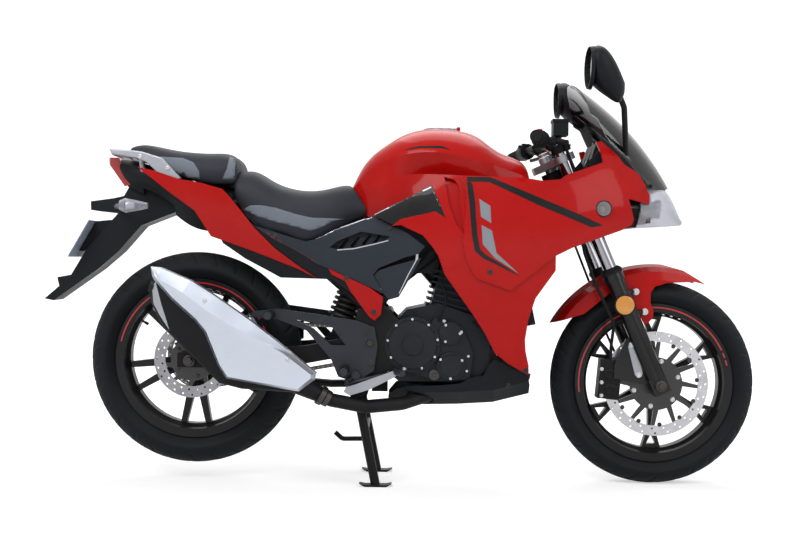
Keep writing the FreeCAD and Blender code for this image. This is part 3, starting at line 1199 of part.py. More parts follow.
mirrors = []
for s in (-1, 1):
    head = loft([mirror_ring(*ring, s) for ring in MIRROR])
    stalk = tube([at(1160, s * 290, 1110), at(1190, s * 250, 1062), at(1226, s * 114, 926)], 8, 40)
    mirrors.append(fused([head, stalk]).cut(fairing).cut(mirrored(fairing)).cut(screen).cut(nose))
piece("mirrors", Part.makeCompound([largest(shape) for shape in mirrors]))

# Stands

stand_pivot = Vector(station(mm("stand_pivot_station")), 0, mm("stand_pivot_height"))
foot_x = station(mm("stand_foot_station"))
half, tr = mm("stand_spread"), mm("stand_tube_radius")
stand = []
for s in (-1, 1):
    foot_point = Vector(foot_x, s * half, 5)
    stand.append(rod(stand_pivot + LEFT * s * half, foot_point, tr))
    stand.append(rod(stand_pivot + LEFT * s * 99, stand_pivot + LEFT * s * (half + tr), tr + 6))
    shoe_side = [Vector(foot_x - 46, 0, 9), Vector(foot_x - 30, 0, 0), Vector(foot_x + 30, 0, 0),
                 Vector(foot_x + 46, 0, 9), Vector(foot_x + 30, 0, 6), Vector(foot_x - 30, 0, 6)]
    stand.append(prism(shoe_side, s * half - 16, s * half + 16))
brace = stand_pivot + (Vector(foot_x, 0, tr) - stand_pivot) * 0.42
stand.append(rod(brace - LEFT * half, brace + LEFT * half, 10))
lever_root = stand_pivot + (Vector(foot_x, 0, tr) - stand_pivot) * 0.66
stand.append(tube([lever_root + LEFT * half, lever_root + Vector(-30, half + 24, -4), at(420, half + 26, 92),
                   at(398, half + 26, 112)], 7, 20))
stand.append(rod(stand_pivot - LEFT * (half + tr), stand_pivot + LEFT * (half + tr), 8))
piece("centre_stand", fused(stand))

side_a, side_z = mm("side_stand_pivot_station"), mm("side_stand_pivot_height")
side_r = mm("side_stand_tube_radius")
side_y = 165
prop = tube([at(side_a, side_y, side_z), at(side_a - 150, side_y, side_z - 4),
             at(side_a - 236, side_y + 6, side_z + 2)], side_r, 60)
side_axis = Vector(0, -math.cos(math.radians(15)), -math.sin(math.radians(15)))
side_pivot = at(side_a, side_y, side_z)
side_pin_radius, knuckle_radius, knuckle_gap = 7, 20, 1.6
knuckle = rod(side_pivot - side_axis * side_r, side_pivot + side_axis * side_r, knuckle_radius)
side_bore = rod(side_pivot - side_axis * 60, side_pivot + side_axis * 60, side_pin_radius + 0.1)
pad_foot = side_prism([(side_a - 262, side_z - 14), (side_a - 214, side_z - 14), (side_a - 214, side_z - 8),
                       (side_a - 262, side_z - 8)], side_y - 14, side_y + 24)
pad_foot = pad_foot.fuse(rod(at(side_a - 236, side_y + 6, side_z + 2),
                             at(side_a - 238, side_y + 6, side_z - 10), side_r))
side_stand = fused([prop, knuckle, pad_foot]).cut(side_bore)
piece("side_stand", side_stand)
side_pin = rod(side_pivot - side_axis * (side_r + 5), side_pivot + side_axis * (side_r + 16), side_pin_radius)
side_head = rod(side_pivot - side_axis * (side_r + 1), side_pivot - side_axis * (side_r + 7), 11)
lug = side_prism([(side_a - 20, side_z + 60), (side_a - 24, side_z - 18), (side_a + 24, side_z - 18),
                  (side_a + 24, side_z + 60)], 93, side_y - side_r - 1)
lug = lug.cut(rod(side_pivot + side_axis * (side_r + knuckle_gap), side_pivot - side_axis * 80, 90))
frame_parts += [lug, side_pin, side_head]

# Footrests with the brake pedal and the gear lever

FOOT_PLATE = [(520, 452), (470, 470), (360, 486), (250, 500), (178, 492), (172, 476), (250, 470), (330, 440),
              (400, 360), (420, 312), (470, 296), (520, 330), (530, 400)]
FOOT_POCKET = [(300, 470), (400, 452), (440, 400), (400, 400), (350, 446)]
bracket = side_prism(FOOT_PLATE, -146, -138).cut(side_prism(FOOT_POCKET, -200, 0))
peg = rod(at(440, -146, 335), at(440, -250, 335), 11)
pillion_peg = rod(at(229, -146, 484), at(229, -226, 484), 11)
standoffs = [rod(at(a, -139, z), at(a, -outer_plate - 8, z), 10) for a, z in ((502, 440), (514, 352))]
bracket = fused([bracket, peg, pillion_peg] + standoffs)
brackets = {"right": bracket, "left": mirrored(bracket)}
for s, name in ((-1, "right"), (1, "left")):
    clear = fused([rod(at(pivot_a, s * 60, pivot_z), at(pivot_a, s * (pivot_end + 0.5), pivot_z), 17.5)])
    brackets[name] = brackets[name].cut(clear)
pedal = tube([at(470, -156, 318), at(430, -162, 290), at(560, -166, 322), at(592, -176, 330)], 7, 12)
pedal = fused([pedal, rod(at(470, -145, 318), at(470, -166, 318), 12),
               rod(at(578, -166, 330), at(600, -214, 330), 9)])
gear = tube([at(480, 156, 318), at(560, 162, 320), at(600, 170, 330)], 6, 12)
gear = fused([gear, rod(at(480, 145, 318), at(480, 162, 318), 12),
              rod(at(600, 164, 330), at(600, 214, 330), 9)])
piece("footrests", Part.makeCompound([fused([brackets["right"], pedal]), fused([brackets["left"], gear])]))

# Chain, engine sprocket and chain guard

rear_r = mm("rear_sprocket_radius") + 2 + mm("roller_radius")
front_r = mm("front_sprocket_radius") + 2 + mm("roller_radius")
rear_c, front_c = REAR_AXLE + LEFT * mm("chain_lateral"), front_sprocket_at


def chain_loop(grow, lateral):
    """The racetrack around both sprockets, larger than the rollers' own line by grow."""
    r1, r2 = rear_r + grow, front_r + grow
    span = front_c - rear_c
    span.y = 0
    length = span.Length
    ahead = span * (1 / length)
    up = Vector(-ahead.z, 0, ahead.x)
    tilt = (r1 - r2) / length
    rise = math.sqrt(1 - tilt * tilt)
    side = {s: ahead * tilt + up * (s * rise) for s in (-1, 1)}
    p = [rear_c + side[1] * r1, front_c + side[1] * r2, front_c + ahead * r2, front_c + side[-1] * r2,
         rear_c + side[-1] * r1, rear_c - ahead * r1]
    for q in p:
        q.y = lateral
    return Part.Wire([Part.LineSegment(p[0], p[1]).toShape(), Part.Arc(p[1], p[2], p[3]).toShape(),
                      Part.LineSegment(p[3], p[4]).toShape(), Part.Arc(p[4], p[5], p[0]).toShape()])


links = []
for side in (-1, 1):
    lateral = mm("chain_lateral") + side * 6.5 - 1
    outer_band = Part.Face(chain_loop(6, lateral)).extrude(LEFT * 2)
    links.append(outer_band.cut(Part.Face(chain_loop(-4.5, lateral - 1)).extrude(LEFT * 4)))
count = 110
roller_line = chain_loop(0, mm("chain_lateral")).discretize(count + 1)[:-1]
half_link = 6.5
for p in roller_line:
    links.append(Part.makeBox(6, 2 * half_link, 6, Vector(p.x - 3, p.y - half_link, p.z - 3)))
chain = links[0].multiFuse(links[1:])
piece("chain", chain)
small = rod(front_c - LEFT * 3, front_c + LEFT * 3, front_r + 1).cut(chain).fuse(
    rod(front_c - LEFT * 3, front_c + LEFT * 12, 20))
small = small.fuse(rod(front_c - LEFT * 4, at(578, 98, 398), 12))
chain_room = Part.Face(chain_loop(14, mm("chain_lateral") - 12)).extrude(LEFT * 40)
engine = engine.cut(chain_room).fuse(small)
piece("engine_block", engine)
guard_side = [(440, 462), (160, 471), (20, 474), (-60, 460), (-68, 448), (20, 464), (160, 462), (440, 453)]
guard_flap = [(300, 452), (180, 462), (180, 380), (230, 366), (300, 400)]
chain_guard = side_prism(guard_side, 74, 112).fuse(side_prism(guard_flap, 110, 113))
chain_guard = chain_guard.cut(swing)
piece("chain_guard", largest(chain_guard))

# Frame with its lugs and pegs

pegs = []
for a, z, y0, others in [
        (1178, 850, -130, [fairing]), (900, 760, -96, [fairing]), (720, 690, -108, [fairing]),
        (620, 715, -100, [tank_side]), (432, 698, -97, [cover]), (300, 654, -94, [liner]),
        (518, 500, -128, [heel]), (870, 400, -80, [fairing]), (846, 338, -84, [belly_pan, fairing])]:
    pegs.append(boss(a, z, y0, others, 6))
whole = fused(frame_parts + stay + pegs + [mirrored(p) for p in pegs])
whole = whole.cut(bore).cut(tree_bore).cut(stand_bore)
whole = whole.fuse(pivot_bolt)
carried = [engine, right_cover, left_cover, belly_pan, tank_shape, tail_under, radiator, dash, nose, headlamp]
for other in seat_room + carried:
    whole = whole.cut(other)
piece("frame", largest(whole))

# Check and write

doc.recompute()
os.makedirs("parts", exist_ok=True)
for obj in doc.Objects:
    if obj.State and any(word in obj.State for word in ("Invalid", "Error")):
        raise RuntimeError(f"{obj.Name}: {obj.State}")
names = [obj for obj in doc.Objects
         if obj.TypeId == "PartDesign::Body" or (obj.TypeId == "Part::Feature" and not obj.InList)]
faulty = [obj.Label for obj in names if obj.Shape.isNull() or not obj.Shape.isValid() or not obj.Shape.Solids]
if faulty:
    raise RuntimeError("no valid solid in " + ", ".join(faulty))
for obj in names:
    obj.Shape.exportStep(f"parts/{obj.Label}.step")
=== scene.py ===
"""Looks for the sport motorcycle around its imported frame. Metres, +X forward, +Y left, +Z up."""

import math

import bmesh
import bpy
import numpy as np
from mathutils import Euler, Matrix, Vector
from mathutils.bvhtree import BVHTree


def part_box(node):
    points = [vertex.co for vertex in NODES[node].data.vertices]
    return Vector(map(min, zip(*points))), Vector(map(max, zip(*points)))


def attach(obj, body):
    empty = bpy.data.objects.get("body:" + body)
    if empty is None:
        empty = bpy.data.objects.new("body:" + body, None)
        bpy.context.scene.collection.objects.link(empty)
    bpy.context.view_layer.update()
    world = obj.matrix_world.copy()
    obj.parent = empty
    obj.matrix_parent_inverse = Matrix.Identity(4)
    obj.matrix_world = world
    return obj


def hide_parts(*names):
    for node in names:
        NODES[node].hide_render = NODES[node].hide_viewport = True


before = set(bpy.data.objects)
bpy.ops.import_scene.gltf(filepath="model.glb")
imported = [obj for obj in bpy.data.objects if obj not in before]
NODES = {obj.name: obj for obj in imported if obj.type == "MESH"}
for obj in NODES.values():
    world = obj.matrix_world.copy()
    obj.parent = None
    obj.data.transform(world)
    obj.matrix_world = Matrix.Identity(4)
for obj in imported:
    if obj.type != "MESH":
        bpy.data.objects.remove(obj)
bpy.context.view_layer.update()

SIDES = ((-1, "right"), (1, "left"))
RIGHT, LEFT, TOP = Vector((0, -1, 0)), Vector((0, 1, 0)), Vector((0, 0, 1))

# The origin is this far ahead of the rear axle, and the fork has this rake, offset and half spread
HALF = 0.592
RAKE = math.radians(23.5)
OFFSET, SPREAD = 35, 98
FRONT_AXLE = Vector((1.330 - HALF, 0, 0.296))
REAR_AXLE = Vector((-HALF, 0, 0.350))
UP = Vector((-math.sin(RAKE), 0, math.cos(RAKE)))
AHEAD = Vector((math.cos(RAKE), 0, math.sin(RAKE)))
STEER = FRONT_AXLE - AHEAD * (OFFSET / 1000)


def at(a, y, z):
    """A point from millimetres ahead of the rear axle, to the left and above the floor."""
    return Vector((a / 1000 - HALF, y / 1000, z / 1000))


def steer(up, ahead=0, left=0):
    """A point from millimetres along the steering axis, ahead of it and to the left."""
    return STEER + UP * (up / 1000) + AHEAD * (ahead / 1000) + Vector((0, left / 1000, 0))


def around(x, y, radius, count, first, step):
    """Points of a circle from a first angle on, a step in radians apart."""
    angles = [first + k * step for k in range(count)]
    return [(x + radius * math.cos(angle), y + radius * math.sin(angle)) for angle in angles]


def spin_to(way, start=TOP):
    """The turn that brings one direction to another."""
    return start.rotation_difference(Vector(way)).to_matrix().to_4x4()


# Materials

SETTINGS = ("operation", "data_type", "noise_dimensions", "samples")


def feed(tree, node, **inputs):
    """Gives inputs a value or the socket that feeds them; i0, i1 and i2 are inputs by number."""
    for key, value in inputs.items():
        socket = node.inputs[int(key[1:]) if key[1:].isdigit() else key.replace("_", " ")]
        if isinstance(value, bpy.types.NodeSocket):
            tree.links.new(value, socket)
        else:
            socket.default_value = value


def add(tree, kind, **given):
    """A node with its settings and inputs."""
    node = tree.nodes.new("ShaderNode" + kind)
    for key in SETTINGS:
        if key in given:
            setattr(node, key, given.pop(key))
    feed(tree, node, **given)
    return node


def new_material(name):
    """A material with its tree, its shader and the place on the object."""
    material = bpy.data.materials.new(name)
    material.use_nodes = True
    tree = material.node_tree
    return material, tree, tree.nodes["Principled BSDF"], add(tree, "TexCoord").outputs["Object"]


def noise(tree, place, scale, detail, **more):
    """Cloudy noise at a place."""
    return add(tree, "TexNoise", Vector=place, Scale=scale, Detail=detail, **more).outputs["Fac"]


def tint_of(tree, source, dark, light):
    """A blend between two colours over the middle of a noise."""
    node = add(tree, "ValToRGB", i0=source)
    for element, where, colour in zip(node.color_ramp.elements, (0.3, 0.7), (dark, light)):
        element.position = where
        element.color = (*colour, 1)
    return node.outputs[0]


def surface(name, colour, roughness, metallic=0.0, coat=0.0, grain=900.0, bump=0.02, spread=0.06, dust=0.0,
            cloud=7.0, edge=0.9, gloss=0.12):
    """A painted, moulded or cast surface with fine grain, cloudy wear and dust on top."""
    material, tree, shader, place = new_material(name)
    fine = noise(tree, place, grain, 4.0, Roughness=0.6)
    broad = noise(tree, place, cloud, 6.0, Roughness=0.62)
    tint = tint_of(tree, broad, [c * (1 - spread) for c in colour],
                   [min(1, c * (1 + spread) + 0.002) for c in colour])
    if dust:
        part = add(tree, "SeparateXYZ", i0=add(tree, "NewGeometry").outputs["Normal"])
        fall = add(tree, "MapRange", Value=part.outputs["Z"], From_Min=0.1, To_Max=dust)
        spot = add(tree, "Math", operation="MULTIPLY", i0=fall.outputs[0], i1=broad)
        tint = add(tree, "Mix", data_type="RGBA", Factor=spot.outputs[0], A=tint,
                   B=(0.32, 0.29, 0.25, 1)).outputs["Result"]
    rough = add(tree, "MapRange", Value=broad, From_Min=0.3, From_Max=0.7,
                To_Min=max(0.03, roughness - 0.07), To_Max=min(1, roughness + 0.09))
    relief = add(tree, "Bump", Strength=0.35, Distance=bump / 1000, Height=fine)
    feed(tree, shader, Base_Color=tint, Roughness=rough.outputs[0], Metallic=metallic, Coat_Weight=coat,
         Coat_Roughness=0.06, Specular_IOR_Level=gloss, Normal=relief.outputs[0])
    if edge:
        rounded = add(tree, "Bevel", samples=4, Radius=edge / 1000)
        feed(tree, relief, Normal=rounded.outputs[0])
    if coat:
        peel = noise(tree, place, 260.0, 1.0)
        wave = add(tree, "Bump", Strength=0.05, Distance=0.0003, Height=peel)
        feed(tree, shader, Coat_Normal=wave.outputs[0])
        if edge:
            feed(tree, wave, Normal=rounded.outputs[0])
    return material


def turned_metal(name, colour, axle, hub):
    """Machined steel with fine rings around an axle, and black paint inside the radius hub."""
    material, tree, shader, place = new_material(name)
    shift = add(tree, "VectorMath", operation="SUBTRACT", i0=place, i1=tuple(axle))
    flat = add(tree, "VectorMath", operation="MULTIPLY", i0=shift.outputs[0], i1=(1, 0, 1))
    radius = add(tree, "VectorMath", operation="LENGTH", i0=flat.outputs[0]).outputs["Value"]
    rings = add(tree, "TexNoise", noise_dimensions="1D", W=radius, Scale=1400.0, Detail=3.0).outputs["Fac"]
    tint = tint_of(tree, noise(tree, place, 22.0, 5.0), [c * 0.78 for c in colour], colour)
    bare = add(tree, "Math", operation="GREATER_THAN", i0=radius, i1=hub).outputs[0]
    both = add(tree, "Mix", data_type="RGBA", Factor=bare, A=(0.010, 0.010, 0.011, 1), B=tint)
    rough = add(tree, "MapRange", Value=rings, To_Min=0.20, To_Max=0.42)
    relief = add(tree, "Bump", Strength=0.4, Distance=0.00005, Height=rings)
    feed(tree, shader, Base_Color=both.outputs["Result"], Metallic=bare, Roughness=rough.outputs[0],
         Normal=relief.outputs[0])
    return material


def lens(name, colour, clear):
    """A glossy lens or screen, where the share clear of what lies behind shows through its tint."""
    material, tree, shader, place = new_material(name)
    rough = add(tree, "MapRange", Value=noise(tree, place, 60.0, 5.0), To_Min=0.05, To_Max=0.13)
    feed(tree, shader, Base_Color=(*colour, 1), Roughness=rough.outputs[0], Coat_Weight=0.6)
    through = add(tree, "BsdfTransparent", i0=(*(min(1, c * 0.5 + 0.5) for c in colour), 1))
    facing_share = add(tree, "LayerWeight", Blend=0.35).outputs["Facing"]
    share = add(tree, "MapRange", Value=facing_share, To_Min=1 - clear)
    mix = add(tree, "MixShader", i0=share.outputs[0], i1=through.outputs[0], i2=shader.outputs[0])
    feed(tree, tree.nodes["Material Output"], i0=mix.outputs[0])
    return material


RED = surface("red_paint", (0.40, 0.003, 0.002), 0.3, coat=0.2, grain=1500, bump=0.004, spread=0.04,
              dust=0.01, gloss=0.05)
BLACK_PAINT = surface("gloss_black", (0.004, 0.004, 0.005), 0.3, coat=0.25, grain=1200, bump=0.004,
                      dust=0.02)
SATIN = surface("satin_black", (0.006, 0.006, 0.007), 0.42, bump=0.03, spread=0.15, dust=0.06)
BLACK_PLASTIC = surface("black_plastic", (0.006, 0.007, 0.009), 0.46, grain=1300, bump=0.05, spread=0.1,
                        dust=0.05)
GREY_PLASTIC = surface("grey_plastic", (0.024, 0.029, 0.038), 0.45, grain=1300, bump=0.05, spread=0.08,
                       dust=0.06)
SILVER = surface("silver_shield", (0.48, 0.52, 0.59), 0.34, metallic=0.75, coat=0.3, grain=1400, bump=0.005)
RAIL = surface("rail_silver", (0.30, 0.31, 0.34), 0.38, metallic=0.7, grain=1100)
ALLOY = surface("cast_alloy", (0.016, 0.018, 0.022), 0.42, metallic=0.25, grain=500, bump=0.12, spread=0.18,
                dust=0.06)
BRACKET = surface("bracket_alloy", (0.03, 0.033, 0.04), 0.45, metallic=0.4, grain=500, bump=0.1, spread=0.15)
STEEL = surface("plain_steel", (0.5, 0.5, 0.52), 0.3, metallic=1.0, grain=700, bump=0.01, spread=0.12)
DARK_STEEL = surface("dark_steel", (0.05, 0.048, 0.046), 0.42, metallic=0.9, grain=300, bump=0.05,
                     spread=0.3)
PIPE = surface("exhaust_black", (0.010, 0.010, 0.011), 0.5, metallic=0.2, grain=160, bump=0.06, spread=0.3,
               cloud=18)
CHROME = surface("hard_chrome", (0.24, 0.24, 0.26), 0.09, metallic=1.0, bump=0.002)
RUBBER = surface("grip_rubber", (0.009, 0.009, 0.010), 0.75, grain=700, bump=0.12)
TYRE = surface("tyre_rubber", (0.008, 0.009, 0.011), 0.7, grain=500, bump=0.14, spread=0.16, dust=0.05)
WHEEL = surface("wheel_black", (0.005, 0.005, 0.006), 0.36, coat=0.15, bump=0.01, dust=0.03)
VINYL = surface("seat_vinyl", (0.022, 0.024, 0.031), 0.5, grain=420, bump=0.22, spread=0.12, dust=0.05)
VINYL_GREY = surface("seat_vinyl_grey", (0.14, 0.16, 0.19), 0.5, grain=420, bump=0.2, spread=0.08, dust=0.04)
PLATE = surface("plate_paint", (0.30, 0.35, 0.45), 0.4)
FRONT_DISC = turned_metal("front_disc_steel", (0.46, 0.46, 0.48), FRONT_AXLE, 0.1205)
REAR_DISC = turned_metal("rear_disc_steel", (0.26, 0.26, 0.28), REAR_AXLE, 0.077)
GLASS = lens("clear_lens", (0.60, 0.62, 0.70), 0.78)
SMOKE = lens("smoked_screen", (0.006, 0.006, 0.008), 0.3)
RED_LENS = lens("red_lens", (0.42, 0.008, 0.006), 0.25)
AMBER = lens("amber_lens", (0.74, 0.30, 0.03), 0.2)
THIN = {"grain": 1200, "bump": 0.003, "edge": 0}
STRIPE = surface("stripe_black", (0.004, 0.004, 0.005), 0.32, coat=0.2, **THIN)
PATCH = surface("patch_grey", (0.20, 0.225, 0.255), 0.34, coat=0.6, **THIN)
LINE = surface("line_silver", (0.42, 0.44, 0.48), 0.34, metallic=0.6, **THIN)
DARK_RED = surface("strip_dark_red", (0.12, 0.010, 0.012), 0.4, coat=0.4, **THIN)
PIN = surface("pinstripe_red", (0.42, 0.02, 0.02), 0.36, coat=0.6, **THIN)
KILL = surface("switch_red", (0.55, 0.01, 0.01), 0.38, bump=0.01)
THREAD = surface("seat_thread", (0.07, 0.075, 0.085), 0.7, grain=2000, bump=0.05, edge=0)
MIRROR = surface("mirror_silver", (0.06, 0.062, 0.075), 0.03, metallic=1.0, grain=300, bump=0.0005,
                 spread=0.02, edge=0)
CHAIN_STEEL = surface("chain_steel", (0.19, 0.175, 0.155), 0.4, metallic=0.9, grain=500, spread=0.3, edge=0)

MATERIALS = (
    (RED, "fuel_tank tail_panels heel_panels side_fairing_right side_fairing_left front_mudguard"),
    (SATIN, "frame swingarm rear_shock radiator muffler front_caliper handlebars centre_stand side_stand"),
    (BLACK_PAINT, "tank_side_panels nose_cowl fork_sliders"),
    (BLACK_PLASTIC, "tail_under instrument_panel belly_pan mirrors chain_guard hand_controls"),
    (DARK_STEEL, "rear_axle front_axle chain rear_sprocket"), (ALLOY, "engine_block engine_covers"),
    (RAIL, "grab_rail fork_yokes fuel_cap"), (GLASS, "indicators headlamp"), (RUBBER, "grips hoses"),
    (VINYL, "rider_seat pillion_seat"), (TYRE, "front_tyre rear_tyre"), (WHEEL, "front_rim rear_rim"),
    (PIPE, "exhaust_pipe"), (SILVER, "muffler_cover"), (RED_LENS, "tail_lamp"), (PLATE, "number_plate"),
    (GREY_PLASTIC, "side_covers"), (SMOKE, "windscreen"), (BRACKET, "footrests"), (CHROME, "fork_tubes"),
    (FRONT_DISC, "front_disc"), (REAR_DISC, "rear_disc"),
)


def dress(obj, material):
    """Gives an object one material."""
    obj.data.materials.clear()
    obj.data.materials.append(material)


for material, names in MATERIALS:
    for name in names.split():
        dress(NODES[name], material)

# Helpers for trim; rays start this far out, and what they miss is sought beside the panels

OUTSIDE, PANEL = 600, 190


def tree_of(obj):
    """A search tree over one object."""
    return BVHTree.FromPolygons([obj.matrix_world @ v.co for v in obj.data.vertices],
                                [tuple(p.vertices) for p in obj.data.polygons])


def surface_tree(*names):
    """One search tree over CAD nodes, so that trim can lie on them."""
    points, faces = [], []
    for name in names:
        obj = NODES[name]
        start = len(points)
        points += [obj.matrix_world @ v.co for v in obj.data.vertices]
        faces += [[start + i for i in poly.vertices] for poly in obj.data.polygons]
    return BVHTree.FromPolygons(points, faces)


def mesh_of(bm, name):
    """The mesh of a finished bmesh."""
    mesh = bpy.data.meshes.new(name)
    bm.to_mesh(mesh)
    bm.free()
    return mesh


def new_object(name, mesh, material, body=None):
    """A piece of a mesh, which rides on a body where one is given."""
    obj = bpy.data.objects.new(name, mesh)
    bpy.context.scene.collection.objects.link(obj)
    dress(obj, material)
    if body:
        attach(obj, body)
    return obj


def smooth(mesh, angle=None):
    """Smooth shading, with sharp edges from an angle on."""
    for poly in mesh.polygons:
        poly.use_smooth = True
    if angle:
        mesh.set_sharp_from_angle(angle=math.radians(angle))


def thicken(obj, thickness, offset):
    """Gives a sheet a thickness in metres."""
    solid = obj.modifiers.new("thickness", "SOLIDIFY")
    solid.thickness = thickness
    solid.offset = offset


def bridge(bm, rings, closed=False):
    """Faces between closed rings of as many points each."""
    for first, second in zip(rings, rings[1:] + (rings[:1] if closed else [])):
        for i in range(len(first)):
            j = (i + 1) % len(first)
            bm.faces.new((first[i], first[j], second[j], second[i]))


def sheet_on(name, outline, tree, material, side=-1, lift=0.5, cell=9.0, thick=0.0):
    """Thin trim cut to a side outline of stations and heights, laid on what the tree holds."""
    bm = bmesh.new()
    bm.faces.new([bm.verts.new((a, 0, z)) for a, z in outline])
    for axis, normal in ((0, (1, 0, 0)), (2, (0, 0, 1))):
        ends = [p[axis // 2] for p in outline]
        for i in range(1, int((max(ends) - min(ends)) / cell) + 1):
            where = [0, 0, 0]
            where[axis] = min(ends) + cell * i
            bmesh.ops.bisect_plane(bm, geom=bm.verts[:] + bm.edges[:] + bm.faces[:], plane_co=where,
                                   plane_no=normal)
    bmesh.ops.triangulate(bm, faces=bm.faces[:])
    for v in bm.verts:
        a, z = v.co.x, v.co.z
        hit, normal, _, _ = tree.ray_cast(at(a, side * OUTSIDE, z), Vector((0, -side, 0)))
        if hit is None:
            hit, normal, _, _ = tree.find_nearest(at(a, side * PANEL, z))
        if normal.y * side < 0:
            normal = -normal
        v.co = hit + normal * (lift / 1000)
    bmesh.ops.recalc_face_normals(bm, faces=bm.faces[:])
    if sum((f.normal * f.calc_area() for f in bm.faces), Vector()).y * side < 0:
        bmesh.ops.reverse_faces(bm, faces=bm.faces[:])
    mesh = mesh_of(bm, name)
    smooth(mesh)
    obj = new_object(name, mesh, material, "chassis")
    if thick:
        thicken(obj, thick / 1000, 1)
    return obj


def band(points, width):
    """The outline of a band, of a width or a width at each point, along stations and heights."""
    widths = width if isinstance(width, list) else [width] * len(points)
    near, far = [], []
    for i, (a, z) in enumerate(points):
        b, c = points[max(i - 1, 0)], points[min(i + 1, len(points) - 1)]
        dx, dz = c[0] - b[0], c[1] - b[1]
        run = math.hypot(dx, dz)
        nx, nz = -dz / run * widths[i] / 2, dx / run * widths[i] / 2
        near.append((a + nx, z + nz))
        far.append((a - nx, z - nz))
    return near + far[::-1]


def spun_mesh(name, profile, steps=32):
    """A turned form along Z: profile is (along the axis, radius) in millimetres."""
    bm = bmesh.new()
    rings = []
    for along, radius in profile:
        if radius:
            points = around(0, 0, radius / 1000, steps, 0, 2 * math.pi / steps)
        else:
            points = [(0, 0)]
        rings.append([bm.verts.new((x, y, along / 1000)) for x, y in points])
    for below, above in zip(rings, rings[1:]):
        for k in range(steps):
            j = (k + 1) % steps
            if len(below) == 1 and len(above) > 1:
                bm.faces.new((below[0], above[k], above[j]))
            elif len(above) == 1 and len(below) > 1:
                bm.faces.new((below[k], above[0], below[j]))
            elif len(above) > 1:
                bm.faces.new((below[k], above[k], above[j], below[j]))
    bmesh.ops.recalc_face_normals(bm, faces=bm.faces[:])
    return mesh_of(bm, name)


def spun(name, profile, axis, place, material, body, steps=32):
    """A turned piece at a place, along an axis."""
    mesh = spun_mesh(name, profile, steps)
    mesh.transform(Matrix.Translation(place) @ spin_to(axis))
    smooth(mesh, 35)
    return new_object(name, mesh, material, body)


def joined(name, meshes, material, body):
    """Several meshes, each with its place, as one piece."""
    bm = bmesh.new()
    for mesh, matrix in meshes:
        copy = mesh.copy()
        copy.transform(matrix)
        bm.from_mesh(copy)
        bpy.data.meshes.remove(copy)
    mesh = mesh_of(bm, name)
    smooth(mesh, 32)
    return new_object(name, mesh, material, body)


def facing(place, way, scale=1.0, turn=0.0):
    """The place of a small form whose Z axis points along a way."""
    return Matrix.Translation(place) @ spin_to(way) @ Matrix.Rotation(turn, 4, "Z") @ Matrix.Scale(scale, 4)


def sized(*size):
    """A scale of each axis."""
    return Matrix.Diagonal((*size, 1))


def socket_bolt():
    """A cap screw of unit radius in millimetres with a hexagon socket, its seat at the origin."""
    mesh = spun_mesh("socket_bolt", [(0, 1.32), (0.1, 1.36), (0.1, 1.0), (0.86, 1.0), (1.0, 0.88),
                                     (1.0, 0.56), (0.45, 0.5), (0.4, 0)], 24)
    for v in mesh.vertices:
        if 0.0004 < math.hypot(v.co.x, v.co.y) < 0.0007:
            part = (math.atan2(v.co.y, v.co.x) % (math.pi / 3)) - math.pi / 6
            scale = math.cos(math.pi / 6) / math.cos(part)
            v.co.x *= scale
            v.co.y *= scale
    return mesh


def hex_nut():
    """A flanged hexagon head of unit radius, its seat at the origin."""
    bm = bmesh.new()
    bm.from_mesh(spun_mesh("flange", [(0, 0), (0, 1.5), (0.16, 1.5), (0.34, 1.12), (0.34, 0)], 30))
    hexagon = around(0, 0, 1, 6, 0, math.pi / 3)
    for low_z, high_z, r0, r1 in ((0.3, 1.05, 1.12, 1.12), (1.05, 1.2, 1.12, 0.98)):
        rings = [[bm.verts.new((x * r / 1000, y * r / 1000, z / 1000)) for x, y in hexagon]
                 for r, z in ((r0, low_z), (r1, high_z))]
        bridge(bm, rings)
    bm.faces.new(rings[1])
    return mesh_of(bm, "hex_nut")


def block(bevel=0.0):
    """A unit cube, with rounded edges where a bevel is given."""
    bm = bmesh.new()
    bmesh.ops.create_cube(bm, size=1)
    if bevel:
        bmesh.ops.bevel(bm, geom=bm.edges[:], offset=bevel, segments=2, affect="EDGES")
    return mesh_of(bm, "block")


BOLT, NUT, CUBE = socket_bolt(), hex_nut(), block()


def bolts(name, places, radius, material, body, form=BOLT):
    """Bolts of a radius in millimetres, each at (place, direction)."""
    joined(name, [(form, facing(place, way, radius, turn=k * 0.7)) for k, (place, way) in enumerate(places)],
           material, body)


def on_side(tree, a, z, side=-1, sink=0.3):
    """The outermost point at a station and height, with its normal."""
    hit, normal, _, _ = tree.ray_cast(at(a, side * OUTSIDE, z), Vector((0, -side, 0)))
    if hit is None:
        return None
    if normal.y * side < 0:
        normal = -normal
    return hit - normal * (sink / 1000), normal


def bolts_on(name, tree, spots, radius, material, body="chassis", side=-1, straight=False, sink=0.3):
    """Bolts on what a tree holds, along its normals or straight to the side."""
    found = [on_side(tree, a, z, side, sink) for a, z in spots]
    outward = Vector((0, side, 0))
    bolts(name, [(hit[0], outward if straight else hit[1]) for hit in found if hit], radius, material, body)


def pipe(name, points, radius, material, body="chassis", resolution=6):
    """A round line along points."""
    curve = bpy.data.curves.new(name, "CURVE")
    curve.dimensions = "3D"
    spline = curve.splines.new("BEZIER")
    spline.bezier_points.add(len(points) - 1)
    for knot, p in zip(spline.bezier_points, points):
        knot.co = p
        knot.handle_left_type = knot.handle_right_type = "AUTO"
    curve.bevel_depth = radius / 1000
    curve.bevel_resolution = 3
    curve.resolution_u = resolution
    curve.use_fill_caps = True
    obj = bpy.data.objects.new(name, curve)
    bpy.context.scene.collection.objects.link(obj)
    curve.materials.append(material)
    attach(obj, body)


